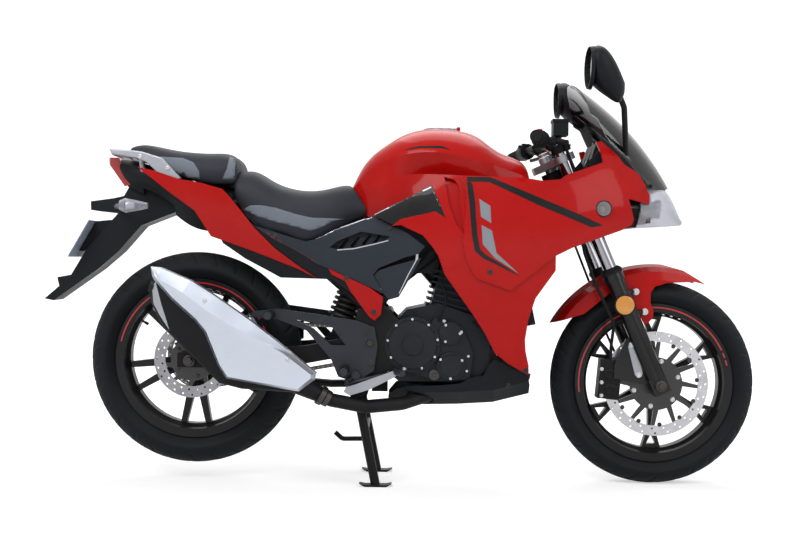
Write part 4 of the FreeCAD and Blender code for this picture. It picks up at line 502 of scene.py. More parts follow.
def slab(name, outline, inner, outer, material, body="chassis"):
    """A flat piece of a side outline between two laterals."""
    bm = bmesh.new()
    rings = [[bm.verts.new(at(a, y, z)) for a, z in outline] for y in (inner, outer)]
    for ring in rings:
        bm.faces.new(ring)
    bridge(bm, rings)
    bmesh.ops.recalc_face_normals(bm, faces=bm.faces[:])
    new_object(name, mesh_of(bm, name), material, body)


def sheet(name, points, material, thickness, offset):
    """A flat sheet through points, with a thickness in metres."""
    bm = bmesh.new()
    bm.faces.new([bm.verts.new(p) for p in points])
    thicken(new_object(name, mesh_of(bm, name), material, "chassis"), thickness, offset)


def placed(name, form, matrix, material, body="chassis"):
    """A copy of a small form at its place."""
    mesh = form.copy()
    mesh.transform(matrix)
    new_object(name, mesh, material, body)


def off(centre, lateral, radius, angle):
    """A point from millimetres to the left of an axle and away from it, at an angle in radians."""
    reach = radius / 1000
    return centre + Vector((reach * math.cos(angle), lateral / 1000, reach * math.sin(angle)))


# Tyres with tread, rim lines, valves and balance weights

RIM_RADIUS, BEAD_RADIUS = 218, 230
FRONT_RIM_FACE, REAR_RIM_FACE = 37.3, 49.3


def tread_tyre(name, node, body, centre, radius, width, rim_half, slant):
    """The tyre's outer skin with its grooves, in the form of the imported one, and a plain inside."""
    steps, across, wall, blocks = 1080, 46, 9, 30
    half, crown = width / 2, width * 0.36
    shoulder = radius - crown
    bend = (half * half + crown * crown) / (crown * 2)
    bead = rim_half - 7.3
    y_arc = half * np.linspace(-1, 1, across)
    r_arc = radius - bend + np.sqrt(bend * bend - y_arc * y_arc)
    t = np.linspace(0, 1, wall + 1)[1:]
    y_wall = half - (half - bead) * t ** 1.6
    r_wall = shoulder + (BEAD_RADIUS - shoulder) * t
    foot = [RIM_RADIUS, BEAD_RADIUS - 3]
    y_line = np.concatenate([[-bead, -bead], -y_wall[::-1], y_arc, y_wall, [bead, bead]])
    r_line = np.concatenate([foot, r_wall[::-1], r_arc, r_wall, foot[::-1]])
    angle = np.linspace(0, 2 * np.pi, steps, endpoint=False)
    aa, yy = np.meshgrid(angle, y_line, indexing="ij")
    rr = np.meshgrid(angle, r_line, indexing="ij")[1]
    v, run = yy / half, aa / (2 * np.pi)

    def groove(distance, wide, deep):
        """How deep a groove is at a distance from its middle."""
        return deep * np.clip((wide - np.abs(distance)) / (wide * 0.35), 0, 1)

    depth = groove(yy, 2.6, 3.6)
    for side, _ in SIDES:
        for k, (v0, v1, lean, wide) in enumerate(((0.10, 0.52, slant, 0.13),
                                                  (0.34, 0.93, slant * 0.72, 0.10))):
            local = (run * blocks + k * 0.5 + (0.25 if side > 0 else 0) - np.abs(v) * lean) % 1 - 0.5
            inside = np.clip((np.abs(v) - v0) / 0.04, 0, 1) * np.clip((v1 - np.abs(v)) / 0.05, 0, 1)
            depth = np.maximum(depth, np.where(side * v > 0, inside * groove(local, wide, 3.2), 0))
    on_tread = rr > shoulder + 1
    rr = rr - np.where(on_tread, depth, 0)
    for r0, wide, high in ((shoulder - 4, 1.2, -0.9), (BEAD_RADIUS + 12, 1.5, -0.8),
                           (BEAD_RADIUS + 5, 1.1, -0.8)):
        ring = np.clip(1 - np.abs(rr - r0) / wide, 0, 1)
        yy = yy + np.where(on_tread, 0, np.sign(yy) * ring * high)
    points = np.stack([centre.x + rr / 1000 * np.cos(aa), yy / 1000, centre.z + rr / 1000 * np.sin(aa)], -1)
    index = np.arange(rr.size).reshape(rr.shape)
    after = np.roll(index, -1, axis=0)
    quads = np.stack([index[:, :-1], index[:, 1:], after[:, 1:], after[:, :-1]], -1).reshape(-1, 4)
    mesh = bpy.data.meshes.new(name)
    mesh.from_pydata(points.reshape(-1, 3).tolist(), [], quads.tolist())
    bm = bmesh.new()
    bm.from_mesh(mesh)
    bmesh.ops.recalc_face_normals(bm, faces=bm.faces[:])
    far = max(bm.faces, key=lambda f: (f.calc_center_median() - centre).length)
    if far.normal.dot(far.calc_center_median() - centre) < 0:
        bmesh.ops.reverse_faces(bm, faces=bm.faces[:])
    bm.to_mesh(mesh)
    bm.free()
    smooth(mesh, 40)
    obj = new_object(name, mesh, TYRE, body)
    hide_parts(node)


tread_tyre("front_tread", "front_tyre", "front_wheel", FRONT_AXLE, 296, 104, 37, 0.9)
tread_tyre("rear_tread", "rear_tyre", "rear_wheel", REAR_AXLE, 307, 134, 49, -1.0)


def rim_arc(name, centre, lateral, start, end, body):
    """A painted line along the rim's edge, between two angles in degrees."""
    steps = int(abs(end - start) / 3)
    bm = bmesh.new()
    rows = []
    for i in range(steps + 1):
        angle = math.radians(start + (end - start) * i / steps)
        rows.append([bm.verts.new(off(centre, lateral, RIM_RADIUS + edge, angle)) for edge in (-2, 2)])
    for a, b in zip(rows, rows[1:]):
        bm.faces.new((a[0], a[1], b[1], b[0]))
    thicken(new_object(name, mesh_of(bm, name), PIN, body), 0.0003, 0)


for side, word in SIDES:
    for part, (start, end) in enumerate(((26, 188), (20, 24), (14, 18))):
        rim_arc(f"front_pinstripe_{word}_{part}", FRONT_AXLE, side * FRONT_RIM_FACE, start, end,
                "front_wheel")
        rim_arc(f"rear_pinstripe_{word}_{part}", REAR_AXLE, side * REAR_RIM_FACE, start + 6, end - 20,
                "rear_wheel")
for name, centre, body, half in (("front", FRONT_AXLE, "front_wheel", 10),
                                 ("rear", REAR_AXLE, "rear_wheel", 16)):
    foot = off(centre, half, 205, 2.6)
    spun(f"{name}_valve", [(-12, 0), (-12, 4.5), (0, 4.5), (2, 3.2), (16, 3.0), (18, 4.2), (27, 4.2),
                           (29, 2.5), (29, 0)],
         (centre - foot).normalized() + Vector((0, 0.35, 0)), foot, RUBBER, body, 16)
    for k, angle in enumerate((1.2, 1.32, 1.44)):
        place = off(centre, -(20 + half), 200.5, angle)
        inward = centre - place
        inward.y = 0
        spun(f"{name}_weight_{k}", [(0, 0), (0, 5.5), (3.0, 5.0), (3.4, 0)], inward, place, STEEL, body, 12)

# Bolts on discs and sprocket, backings, pedal blade, caliper and the fork's small parts

FRONT_DISC_FACE, REAR_DISC_FACE, SPROCKET_FACE = -65.5, -83.5, 87.4
bolts("front_disc_bolts", [(off(FRONT_AXLE, FRONT_DISC_FACE, 66, k * math.pi / 3 + 0.3), RIGHT)
                           for k in range(6)], 5, STEEL, "front_wheel")
button = spun_mesh("button", [(0, 0), (0, 6.5), (1.6, 6.0), (1.8, 3.4), (0.8, 3.0), (0.8, 0)], 18)
spots = [off(FRONT_AXLE, FRONT_DISC_FACE + 0.6, 118, k * math.pi / 6 + 0.1) for k in range(12)]
joined("front_disc_buttons", [(button, facing(spot, RIGHT)) for spot in spots], DARK_STEEL, "front_wheel")
bolts("rear_disc_bolts", [(off(REAR_AXLE, REAR_DISC_FACE, 50, k * math.pi / 2.5), RIGHT)
                          for k in range(5)], 4.6, DARK_STEEL, "rear_wheel")
bolts("sprocket_nuts", [(off(REAR_AXLE, SPROCKET_FACE, 40, k * math.pi / 3 + 0.5), LEFT)
                        for k in range(6)], 5.5, STEEL, "rear_wheel", NUT)
for side, word in SIDES:
    slab(f"cover_backing_{word}", [(496, 596), (500, 652), (612, 664), (612, 596)], side * 112, side * 115,
         BLACK_PLASTIC)
    slab(f"pan_backing_{word}", [(826, 402), (836, 372), (862, 344), (962, 304), (966, 322), (880, 360),
                                 (850, 394)], side * 92, side * 95, BLACK_PLASTIC)
slab("brake_pedal_blade", [(437, 274), (444, 287), (468, 294), (573, 333), (586, 327), (580, 317),
                           (509, 281), (455, 264)], -176, -181, RAIL)
slab("caliper_arm", [(1242, 402), (1245, 414), (1256, 418), (1264, 408), (1284, 330), (1282, 320),
                     (1270, 316), (1262, 324)], -91.8, -98, RAIL, "steering")
bolts("axle_nut", [(on_side(surface_tree("fork_sliders", "front_axle"), 1330, 296)[0], RIGHT)], 9,
      DARK_STEEL, "steering", NUT)
bolts("caliper_arm_bolts", [(at(1252, -97.6, 409), RIGHT), (at(1273, -97.6, 324), RIGHT)], 6, STEEL,
      "steering")
caliper_tree = surface_tree("front_caliper")
bolts_on("caliper_bolts", caliper_tree, [(1170, 338), (1170, 300), (1170, 262)], 4, STEEL, "steering",
         straight=True)
for k, (a, z) in enumerate(((1194, 322), (1196, 278))):
    spun(f"caliper_dome_{k}", [(-1, 18), (2.5, 17), (4, 14), (4, 9), (2, 8), (2, 0)], RIGHT,
         on_side(caliper_tree, a, z)[0], SATIN, "steering", 36)
guard_tree = surface_tree("front_mudguard", "fork_sliders")
for side, word in SIDES:
    bolts_on(f"mudguard_bolts_{word}", guard_tree, [(1266, 560), (1292, 503)], 7, STEEL, "steering",
             side=side, straight=True)
for side, word in SIDES:
    outward, middle = (0, side, 0), steer(250, OFFSET - 6, side * (SPREAD + 26))
    spun(f"reflector_rim_{word}", [(-6, 0), (-6, 27), (0, 30), (5, 30), (6, 27), (5.2, 0)], outward, middle,
         BLACK_PLASTIC, "steering", 48)
    spun(f"reflector_{word}", [(5, 0), (5, 26.5), (7.2, 26), (9, 18), (9.6, 0)], outward, middle, AMBER,
         "steering", 48)
    spun(f"dust_seal_{word}", [(-2, 21), (-2, 31.5), (6, 31.5), (12, 27), (16, 21.5), (16, 20.4)], UP,
         steer(345, OFFSET, side * SPREAD), RUBBER, "steering", 40)
    spun(f"fork_cap_{word}", [(0, 17), (0, 14.5), (7, 13.5), (7, 6), (4, 5), (4, 0)], UP,
         steer(752, OFFSET, side * SPREAD), RAIL, "steering", 24)
bolts("upper_yoke_nut", [(steer(724.5), UP)], 12, STEEL, "steering", NUT)

# Stripes, patches, edge lines, bolts and louvre fins on the panels

TRIM = (
    ("long_stripe", "fairing", STRIPE, [(769, 872), (833, 872), (979, 812), (1080, 772), (1146, 744),
                                        (1112, 738), (1050, 762), (966, 795), (830, 858), (769, 859)]),
    ("branch_stripe", "fairing", STRIPE, band([(774, 858), (778, 846), (780, 830), (784, 800), (787, 760),
                                               (792, 710), (800, 672), (818, 655), (870, 628), (916, 602)],
                                              [11, 15, 16, 16, 15, 15, 15, 12, 7, 1.5])),
    ("patch_upper", "fairing", PATCH, [(803, 811), (833, 792), (836, 745), (808, 762)]),
    ("patch_lower", "fairing", PATCH, [(810, 740), (838, 725), (852, 664), (914, 609), (848, 650),
                                       (814, 688)]),
    ("tank_stripe", "fuel_tank", STRIPE, band([(598, 950), (640, 957), (700, 957), (722, 950)],
                                              [2, 6, 7, 2])),
    ("tank_side_line", "tank_side_panels", LINE, band([(516, 766), (560, 788), (620, 818), (672, 843)],
                                                      3.2)),
    ("tank_side_edge", "tank_side_panels", LINE, band([(674, 843), (686, 818), (698, 792)], 5)),
    ("cover_line", "side_covers", LINE, band([(352, 697), (400, 722), (440, 735), (508, 761)], 2.4)),
    ("louvre_line", "side_covers", LINE, band([(414, 667), (460, 671), (520, 685), (556, 695)], 3)),
    ("inner_panel_line", "side_covers", LINE, band([(640, 652), (612, 600), (588, 548)], 2.6)),
    ("tail_line", "side_covers", DARK_RED, band([(210, 706), (252, 686), (297, 664), (350, 631)],
                                                [3, 7, 8, 3])),
)
PANEL_BOLTS = (
    ("fairing_bolts", "fairing", [(836, 612), (944, 338)]),
    ("belly_bolts", "belly_pan", [(638, 259), (900, 290)]),
    ("cover_bolts", "side_covers", [(240, 704), (560, 730)]),
    ("heel_bolts", "heel_panels", [(518, 495), (440, 590)]),
)
panels = {name: surface_tree(name)
          for name in ("fuel_tank", "tank_side_panels", "side_covers", "belly_pan", "heel_panels")}
for side, word in SIDES:
    panels["fairing"] = surface_tree(f"side_fairing_{word}")
    for name, panel, material, outline in TRIM:
        sheet_on(f"{name}_{word}", outline, panels[panel], material, side)
    for name, panel, spots in PANEL_BOLTS:
        bolts_on(f"{name}_{word}", panels[panel], spots, 5.5, DARK_STEEL, side=side)
    slope = Matrix.Rotation(math.radians(38), 4, "Y") @ Matrix.Rotation(math.radians(side * 32), 4, "Z")
    for k, (a, z) in enumerate(((430, 686), (462, 691), (494, 696), (526, 700))):
        placed(f"louvre_fin_{word}_{k}", CUBE, Matrix.Translation(at(a, side * 157, z)) @ slope
               @ sized(0.003, 0.016, 0.034), BLACK_PLASTIC)

# Seats


def cushion(name, node, material, voxel):
    """A stretched seat cover over foam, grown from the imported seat."""
    source = NODES[node]
    mesh = source.data.copy()
    mesh.transform(source.matrix_world)
    mesh.name = name
    mesh.materials.clear()
    obj = new_object(name, mesh, material)
    skin = obj.modifiers.new("skin", "REMESH")
    skin.mode = "VOXEL"
    skin.voxel_size = voxel
    skin.use_smooth_shade = True
    soft = obj.modifiers.new("soft", "SMOOTH")
    soft.factor = 0.5
    soft.iterations = 7
    graph = bpy.context.evaluated_depsgraph_get()
    made = bpy.data.meshes.new_from_object(obj.evaluated_get(graph))
    obj.modifiers.clear()
    obj.data = made
    smooth(made)
    dress(obj, material)
    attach(obj, "chassis")
    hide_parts(node)
    return obj


def stitched(name, line, tree, side, material, step=6.0):
    """Stitches that follow a line of stations and heights on the cover."""
    stitch = spun_mesh("stitch", [(-2.0, 0), (-1.8, 0.45), (0, 0.6), (1.8, 0.45), (2.0, 0)], 6)
    made = []
    for (a0, z0), (a1, z1) in zip(line, line[1:]):
        run, rise = a1 - a0, z1 - z0
        count = max(1, int(math.hypot(run, rise) / step))
        for k in range(count):
            t = (k + 0.5) / count
            found = on_side(tree, a0 + run * t, z0 + rise * t, side, -0.2)
            if found:
                made.append((stitch, facing(found[0], (run, 0, rise))))
    joined(name, made, material, "chassis")


rider_tree = tree_of(cushion("rider_cushion", "rider_seat", VINYL, 0.005))
pillion_tree = tree_of(cushion("pillion_cushion", "pillion_seat", VINYL, 0.005))
INSERTS = (
    ("seat_insert", rider_tree, [(146, 778), (165, 789), (197, 790), (238, 783), (298, 765), (342, 756),
                                 (432, 755), (402, 749), (370, 730), (338, 719), (296, 730), (232, 745),
                                 (182, 760)]),
    ("pillion_insert", pillion_tree, [(-99, 926), (-31, 922), (1, 909), (18, 884), (20, 862), (-33, 868),
                                      (-70, 890)]),
    ("pillion_front", pillion_tree, [(100, 928), (126, 922), (140, 904), (146, 886), (136, 868), (100, 862),
                                     (84, 862), (96, 892)]),
)
for side, word in SIDES:
    for name, tree, outline in INSERTS:
        patch = sheet_on(f"{name}_{word}", outline, tree, VINYL_GREY, side, cell=8, thick=0.5)
        stitched(f"{name}_stitches_{word}", outline + outline[:1], tree, side, THREAD)

# Lamps, mirrors and screen


def bowl(name, place, way, radius, deep, material):
    """A lamp's reflector, open towards way."""
    inside = [(-deep * (1 - (k / 8) ** 2), 5 + (radius - 5) * k / 8) for k in range(1, 9)]
    back = [(1.5, radius + 1.5), (-deep * 0.4, radius + 1), (-deep - 2, 8), (-deep - 2, 0)]
    spun(name, [(-deep, 0), (-deep, 5)] + inside + back, way, place, material, "chassis", 40)


for side, word in SIDES:
    outward = (0, side, 0)
    bowl(f"headlamp_bowl_{word}", at(1336, side * 42, 798), (1, side * 0.05, -0.06), 26, 26, CHROME)
    spun(f"headlamp_bulb_{word}", [(0, 4), (14, 4), (20, 3), (23, 0)], (1, 0, -0.05),
         at(1312, side * 42, 799), CHROME, "chassis", 16)
    bowl(f"front_lamp_bowl_{word}", at(1146, side * 204, 790), outward, 18, 18, STEEL)
    spun(f"front_lamp_bulb_{word}", [(0, 3), (8, 4.5), (14, 4.5), (18, 0)], outward,
         at(1146, side * 186, 790), AMBER, "chassis", 20)
    spun(f"front_lamp_rim_{word}", [(-3, 21), (0, 22.6), (2.6, 21.6), (2.6, 20), (-3, 20)], outward,
         at(1146, side * 211, 790), BLACK_PLASTIC, "chassis", 48)
    bowl(f"rear_lamp_bowl_{word}", at(-180, side * 137, 784), (-1, 0, 0), 13, 20, STEEL)
    spun(f"rear_lamp_bulb_{word}", [(0, 3), (8, 5), (14, 5), (18, 0)], (-1, 0, 0), at(-168, side * 137, 784),
         AMBER, "chassis", 20)
LAMP_BACK = ((-104, 756), (104, 756), (112, 800), (96, 836), (40, 852), (-40, 852), (-96, 836), (-112, 800))
for k, (a, material) in enumerate(((1290, BLACK_PAINT), (1300, RAIL))):
    sheet(f"headlamp_back_{k}", [at(a, y, z) for y, z in LAMP_BACK], material, 0.002, -1)

# Each mirror's glass and lip follow its head: rays from behind find how far it reaches in every direction
MIRROR_SIDE, MIRROR_HEIGHT, RAYS = 298, 1167, 26
mirror_tree = surface_tree("mirrors")
for side, word in SIDES:
    y, z = side * MIRROR_SIDE, MIRROR_HEIGHT
    start, edge = at(1062, y, z), []
    for angle in (2 * math.pi * k / RAYS for k in range(RAYS)):
        way, reach = Vector((0, math.cos(angle), math.sin(angle))), 0.02
        while reach < 0.09 and mirror_tree.ray_cast(start + way * reach, (1, 0, 0), 0.05)[0] is not None:
            reach += 0.001
        edge.append((way, reach))
    glass = [at(1091.2, y, z) + way * max(reach - 0.007, 0.01) for way, reach in edge]
    sheet(f"mirror_glass_{word}", glass, MIRROR, 0.0016, 0)
    bm = bmesh.new()
    rings = [[bm.verts.new(at(a, y, z) + way * (reach - inset)) for way, reach in edge]
             for a, inset in ((1092, 0.0015), (1082, 0.0035), (1082, 0.0058), (1092, 0.0066))]
    bridge(bm, rings, closed=True)
    bmesh.ops.recalc_face_normals(bm, faces=bm.faces[:])
    new_object(f"mirror_lip_{word}", mesh_of(bm, "mirror_lip"), BLACK_PLASTIC, "chassis")
screen_tree = surface_tree("windscreen")
for side, word in SIDES:
    bolts_on(f"screen_screws_{word}", screen_tree, [(1168, 978), (1212, 930), (1256, 892), (1300, 862)], 4.5,
             BLACK_PAINT, side=side)

# Dash face towards the rider

dial_at, rider_way = at(1141, 0, 958), (-0.94, 0, 0.34)
spun("dash_dial_rim", [(-3, 0), (-3, 37), (3, 37), (4.5, 35), (1.5, 33.5), (1.2, 0)], rider_way, dial_at,
     BLACK_PAINT, "chassis", 48)
spun("dash_dial_face", [(1.3, 0), (1.3, 33), (2.0, 33), (2.0, 0)], rider_way, dial_at, PATCH, "chassis", 48)
dial = facing(dial_at, rider_way)
ticks = []
for k in range(28):
    long = 5 if k % 3 == 0 else 3
    ticks.append((CUBE, dial @ Matrix.Rotation(math.radians(-135 + 10 * k), 4, "Z")
                  @ Matrix.Translation((0.029 - long / 2000, 0, 0.0023))
                  @ sized(long / 1000, 0.0009, 0.0004)))
ticks.append((CUBE, dial @ Matrix.Rotation(2.3, 4, "Z") @ Matrix.Translation((0.010, 0, 0.0028))
              @ sized(0.028, 0.0014, 0.0006)))
joined("dash_ticks", ticks, STRIPE, "chassis")
for k, y in enumerate((-60, 60)):
    placed(f"dash_display_{k}", CUBE, facing(at(1142, y, 955), rider_way) @ sized(0.030, 0.034, 0.004),
           SMOKE)

# Bars: grip ribs, switches, joints of their housings and clamp bolts

rib = spun_mesh("rib", [(-1.1, 16.8), (-0.7, 17.9), (0.7, 17.9), (1.1, 16.8)], 40)
clamp_ring = spun_mesh("clamp_ring", [(-1.2, 22), (-1.2, 24.8), (1.2, 24.8), (1.2, 22)], 40)
switch = block(0.12)
SWEEP, DROP, BAR = math.radians(12), 0.05, 0.220
for side, word in SIDES:
    run = Vector((-math.sin(SWEEP), side * math.cos(SWEEP), -DROP)).normalized()
    end = steer(767, -2, side * 106) + run * (BAR / math.cos(SWEEP) * math.hypot(1, DROP))
    joined(f"grip_ribs_{word}", [(rib, facing(end - run * (0.012 + 0.0038 * k), run)) for k in range(26)],
           RUBBER, "steering")
    pod = end - run * 0.145
    keys = (((-0.018, -0.010, 0.016), (0.010, 0.012, 0.010), BLACK_PLASTIC),
            ((-0.020, 0.006, 0.010), (0.009, 0.009, 0.012), PATCH if side > 0 else BLACK_PLASTIC),
            ((-0.004, 0.008, 0.024), (0.014, 0.010, 0.008), KILL if side < 0 else BLACK_PLASTIC))
    for k, ((x, y, z), size, material) in enumerate(keys):
        placed(f"switch_{word}_{k}", switch, Matrix.Translation(pod + Vector((x, side * y, z)))
               @ spin_to(run * side, LEFT) @ sized(*size), material, "steering")
    joined(f"switch_joint_{word}", [(clamp_ring, facing(pod + run * k, run)) for k in (-0.012, 0.012)],
           SATIN, "steering")
for side, word in SIDES:
    bolts(f"clamp_bolts_{word}", [(steer(728, OFFSET - 30, side * (SPREAD + 12)), -AHEAD),
                                  (steer(728, OFFSET + 29.5, side * SPREAD), AHEAD)], 4, STEEL, "steering")

# Engine bolts, wire and hose, radiator core, exhaust bands and end cap

engine_tree = surface_tree("engine_covers", "engine_block")
spots = around(628, 404, 71, 9, 0.2, math.pi / 4.5) + around(737, 344, 35, 3, 0.5, 2.09)
spots += around(734, 436, 27, 3, 0, 2.09) + [(782, 330), (786, 372), (700, 312), (764, 440), (716, 470)]
bolts_on("engine_bolts_right", engine_tree, spots, 3.8, STEEL, straight=True, sink=0.4)
spots = around(730, 372, 68, 8, 0.2, math.pi / 4)
spots += [(560, 352), (604, 316), (660, 306), (690, 462), (610, 452)]
bolts_on("engine_bolts_left", engine_tree, spots, 3.8, STEEL, side=1, straight=True, sink=0.4)
spun("oil_cap", [(0, 0), (0, 15), (8, 15), (9, 13), (9, 6), (12, 5), (12, 0)], RIGHT, at(690, -116, 318),
     DARK_STEEL, "chassis", 20)
pipe("clutch_wire", [at(700, -122, 470), at(712, -134, 500), at(720, -128, 540), at(700, -110, 590)], 3.2,
     RUBBER)
pipe("coolant_hose", [at(918, -108, 470), at(880, -112, 440), at(836, -104, 452), at(800, -90, 470)], 9,
     RUBBER)
core = Matrix.Translation(at(934, 0, 560)) @ Matrix.Rotation(math.radians(-12), 4, "Y")
joined("radiator_fins", [(CUBE, core @ Matrix.Translation((0.0165, 0, -0.088 + 0.004 * k))
                          @ sized(0.004, 0.22, 0.0012)) for k in range(44)], DARK_STEEL, "chassis")
spun("muffler_end", [(0, 26), (0, 34), (-6, 34), (-6, 22), (10, 20), (10, 0)], (-0.92, 0, 0.36),
     at(-88, -191, 560), ALLOY, "chassis", 48)
for k, (place, radius) in enumerate(((at(392, -184, 256), 23), (at(377.2, -186.4, 264), 27))):
    spun(f"pipe_band_{k}", [(-7, 20), (-7, radius), (7, radius + 1), (7, 20)], (-0.86, -0.14, 0.48), place,
         DARK_STEEL, "chassis", 40)
sheet_on("muffler_edge", [(-86, 556), (-77, 574), (-62, 517), (-37, 441), (-62, 478), (-82, 514)],
         surface_tree("muffler"), RAIL, lift=1.0)
bolts_on("shield_bolts", surface_tree("muffler_cover"), [(59, 524), (287, 366)], 5, STEEL, straight=True)

# Chain side plates and pins

CHAIN_LINKS, CHAIN_SIDE = 110, 84
REAR_PITCH, FRONT_PITCH = 0.099, 0.038


def link_plate():
    """One side plate: two round eyes and a waist, drawn along x."""
    outline = []
    for centre, waist in ((0.0073, 0.0036), (-0.0073, -0.0036)):
        outline += around(centre, 0, 0.0046, 9, -math.copysign(math.pi / 2, centre), math.pi / 8)
        outline.append((0, waist))
    bm = bmesh.new()
    rings = [[bm.verts.new((x, y, z)) for x, z in outline] for y in (-0.0007, 0.0007)]
    bm.faces.new(rings[0][::-1])
    bm.faces.new(rings[1])
    bridge(bm, rings)
    return mesh_of(bm, "plate")


def chain_points(count):
    """Places and headings around both sprockets, evenly apart."""
    rear, front = REAR_AXLE, at(578, CHAIN_SIDE, 398)
    r1, r2 = REAR_PITCH, FRONT_PITCH
    span = Vector((front.x - rear.x, 0, front.z - rear.z))
    ahead = span.normalized()
    up = Vector((-ahead.z, 0, ahead.x))
    tilt = (r1 - r2) / span.length
    rise, lean = math.sqrt(1 - tilt * tilt), math.asin(tilt)
    top, low_way = ahead * tilt + up * rise, ahead * tilt - up * rise
    onward, return_way = ahead * rise - up * tilt, -ahead * rise - up * tilt
    flat = span.length * rise
    first = flat + r2 * (math.pi - 2 * lean)
    second = first + flat
    loop = second + r1 * (math.pi + 2 * lean)
    for s in (loop * k / count for k in range(count)):
        if s < flat:
            yield rear + top * r1 + onward * s, onward
        elif s < first:
            turn = Matrix.Rotation((s - flat) / r2, 3, "Y")
            yield front + turn @ top * r2, turn @ onward
        elif s < second:
            yield front + low_way * r2 + return_way * (s - first), return_way
        else:
            turn = Matrix.Rotation((s - second) / r1, 3, "Y")
            yield rear + turn @ low_way * r1, turn @ return_way


link, link_pin = link_plate(), spun_mesh("pin", [(-9.6, 0), (-9.6, 2.2), (9.6, 2.2), (9.6, 0)], 12)
plates, pins = [], []
for k, (place, heading) in enumerate(chain_points(CHAIN_LINKS)):
    place.y = CHAIN_SIDE / 1000
    wide = 0.0088 if k % 2 else 0.0078
    for side, _ in SIDES:
        plates.append((link, Matrix.Translation(place + heading * 0.0066 + Vector((0, side * wide, 0)))
                       @ spin_to(heading, Vector((1, 0, 0)))))
    pins.append((link_pin, facing(place, LEFT)))
joined("chain_plates", plates, CHAIN_STEEL, "chassis")
joined("chain_pins", pins, STEEL, "chassis")

# Footrest rubbers, bolts and nuts, shock spring, cap ring and lock, plate rim

peg_ring = spun_mesh("ring", [(-2.6, 10), (-2.6, 13.2), (2.6, 13.2), (2.6, 10)], 28)
foot_tree = surface_tree("footrests")
for side, word in SIDES:
    outward = (0, side, 0)
    joined(f"peg_rubber_{word}", [(peg_ring, facing(at(a, side * (158 + gap * k), z), LEFT))
                                  for a, z, gap, count in ((440, 335, 7.6, 12), (229, 484, 7.2, 9))
                                  for k in range(count)], RUBBER, "chassis")
    bolts_on(f"footrest_bolts_{word}", foot_tree, [(500, 440), (512, 352)], 6, DARK_STEEL, side=side,
             straight=True)
    bolts(f"pivot_cap_{word}", [(at(508, side * 137.3, 407), outward)], 10, DARK_STEEL, "chassis", NUT)
    bolts(f"rear_axle_nut_{word}", [(at(0, side * 138.2, 350), outward)], 11, DARK_STEEL, "chassis", NUT)
    bolts(f"grab_rail_bolts_{word}", [(at(-150, side * 119, 924), outward),
                                      (at(-72, side * 119, 892), outward)], 5, STEEL, "chassis")
foot, way, turns = at(418, 0, 466), at(452, 0, 554) - at(418, 0, 466), 6
pipe("shock_spring", [foot + way * (k / (turns * 8)) + spin_to(way).to_3x3() @ Vector((x, y, 0))
                      for k, (x, y) in enumerate(around(0, 0, 0.037, turns * 8 + 1, 0, math.pi / 4))],
     5.5, DARK_STEEL, resolution=3)
spun("cap_ring", [(0, 46.5), (0, 58), (2.5, 57), (3, 50), (2, 46.5)], TOP, at(700, 0, 1019), RAIL,
     "chassis", 64)
spun("cap_lock", [(0, 0), (0, 11), (2.5, 10.5), (3, 4), (1.8, 3.6), (1.8, 0)], TOP, at(690, 0, 1026), STEEL,
     "fuel_cap", 32)
plate_low, plate_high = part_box("number_plate")
plate_mid = (plate_low + plate_high) / 2
lean = math.radians(29.36)
plate_out = Vector((-math.cos(lean), 0, math.sin(lean)))
plate_up = Vector((math.sin(lean), 0, math.cos(lean)))
corners = [plate_mid + plate_out * 0.0012 + plate_up * (v * 0.056) + Vector((0, u * 0.091, 0))
           for u, v in ((-1, -1), (1, -1), (1, 1), (-1, 1))]
joined("plate_rim", [(CUBE, Matrix.Translation((p + q) / 2) @ spin_to(q - p, LEFT)
                      @ sized(0.0022, (q - p).length + 0.002, 0.0022))
                     for p, q in zip(corners, corners[1:] + corners[:1])], PLATE, "chassis")
upper = plate_mid + plate_out * 0.001 + plate_up * 0.04
bolts("plate_bolts", [(upper + Vector((0, side * 0.05, 0)), plate_out) for side, _ in SIDES], 4, STEEL,
      "chassis", NUT)

# Camera, light and backdrop


def seen_rays(tree):
    """One for the rays that show the background: of the camera, of gloss and through glass."""
    path = add(tree, "LightPath").outputs
    seen = path["Is Camera Ray"]
    for word in ("Is Glossy Ray", "Is Transmission Ray"):
        seen = add(tree, "Math", operation="MAXIMUM", i0=seen, i1=path[word]).outputs[0]
    return seen


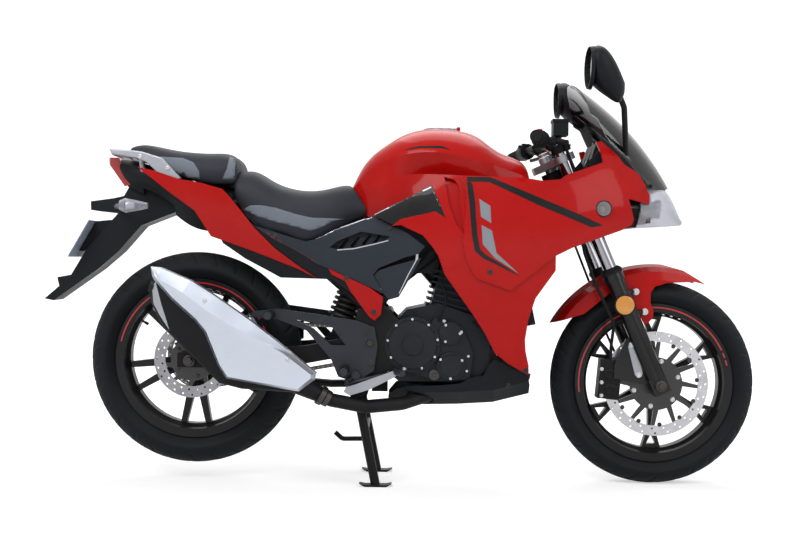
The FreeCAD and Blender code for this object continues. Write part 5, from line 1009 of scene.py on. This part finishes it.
def studio_paint(name, shade, scale, glow):
    """White studio paint that camera, mirror and glass rays also see glow, more so away from the middle."""
    material, tree, shader, place = new_material(name)
    tint = tint_of(tree, noise(tree, place, scale, 4.0), (shade,) * 3, (shade * 1.03,) * 3)
    away = add(tree, "VectorMath", operation="LENGTH", i0=place).outputs["Value"]
    fade = add(tree, "MapRange", Value=away, From_Min=1.2, From_Max=3.0, To_Min=glow, To_Max=0.95)
    share = add(tree, "Math", operation="MULTIPLY", i0=seen_rays(tree), i1=fade.outputs[0])
    feed(tree, shader, Base_Color=tint, Roughness=0.85, Emission_Color=(1, 1, 1, 1),
         Emission_Strength=share.outputs[0])
    return material


def studio():
    """The photograph's view, a white floor and wall, and three soft lamps."""
    scene = bpy.context.scene
    data = bpy.data.cameras.new("camera")
    data.lens = 49.05
    data.sensor_width = 36
    data.shift_y = -0.0075
    cam = bpy.data.objects.new("camera", data)
    scene.collection.objects.link(cam)
    cam.location = (-0.003, -3.2, 0.64)
    cam.rotation_euler = Euler((math.radians(90), math.radians(-0.8), 0))
    scene.camera = cam
    scene.view_settings.view_transform = "Standard"
    world = bpy.data.worlds.new("studio")
    scene.world = world
    world.use_nodes = True
    level = add(world.node_tree, "MapRange", Value=seen_rays(world.node_tree), To_Min=0.32)
    feed(world.node_tree, world.node_tree.nodes["Background"], i0=(1, 1, 1, 1), i1=level.outputs[0])
    bpy.ops.mesh.primitive_plane_add(size=30, location=(0, 0, 0))
    floor = bpy.context.object
    floor.name = "floor"
    dress(floor, studio_paint("floor_paint", 0.66, 1.2, 0.5))
    bpy.ops.mesh.primitive_plane_add(size=40, location=(0, 8, 0), rotation=(math.radians(90), 0, 0))
    wall = bpy.context.object
    wall.name = "backdrop"
    dress(wall, studio_paint("backdrop_paint", 0.60, 0.4, 0.95))
    for name, place, power, width, aim in (
            ("key", (-1.6, -3.0, 3.4), 122, 2.4, (0, 0, 0.5)),
            ("fill", (2.8, -2.6, 2.2), 46, 2.2, (0.3, 0, 0.5)),
            ("top", (0.2, 1.4, 3.6), 90, 3.0, (0, 0, 0.5))):
        lamp_data = bpy.data.lights.new(name, "AREA")
        lamp_data.energy = power
        lamp_data.size = width
        lamp = bpy.data.objects.new(name, lamp_data)
        scene.collection.objects.link(lamp)
        lamp.location = place
        lamp.rotation_euler = (Vector(aim) - Vector(place)).to_track_quat("-Z", "Y").to_euler()


studio()
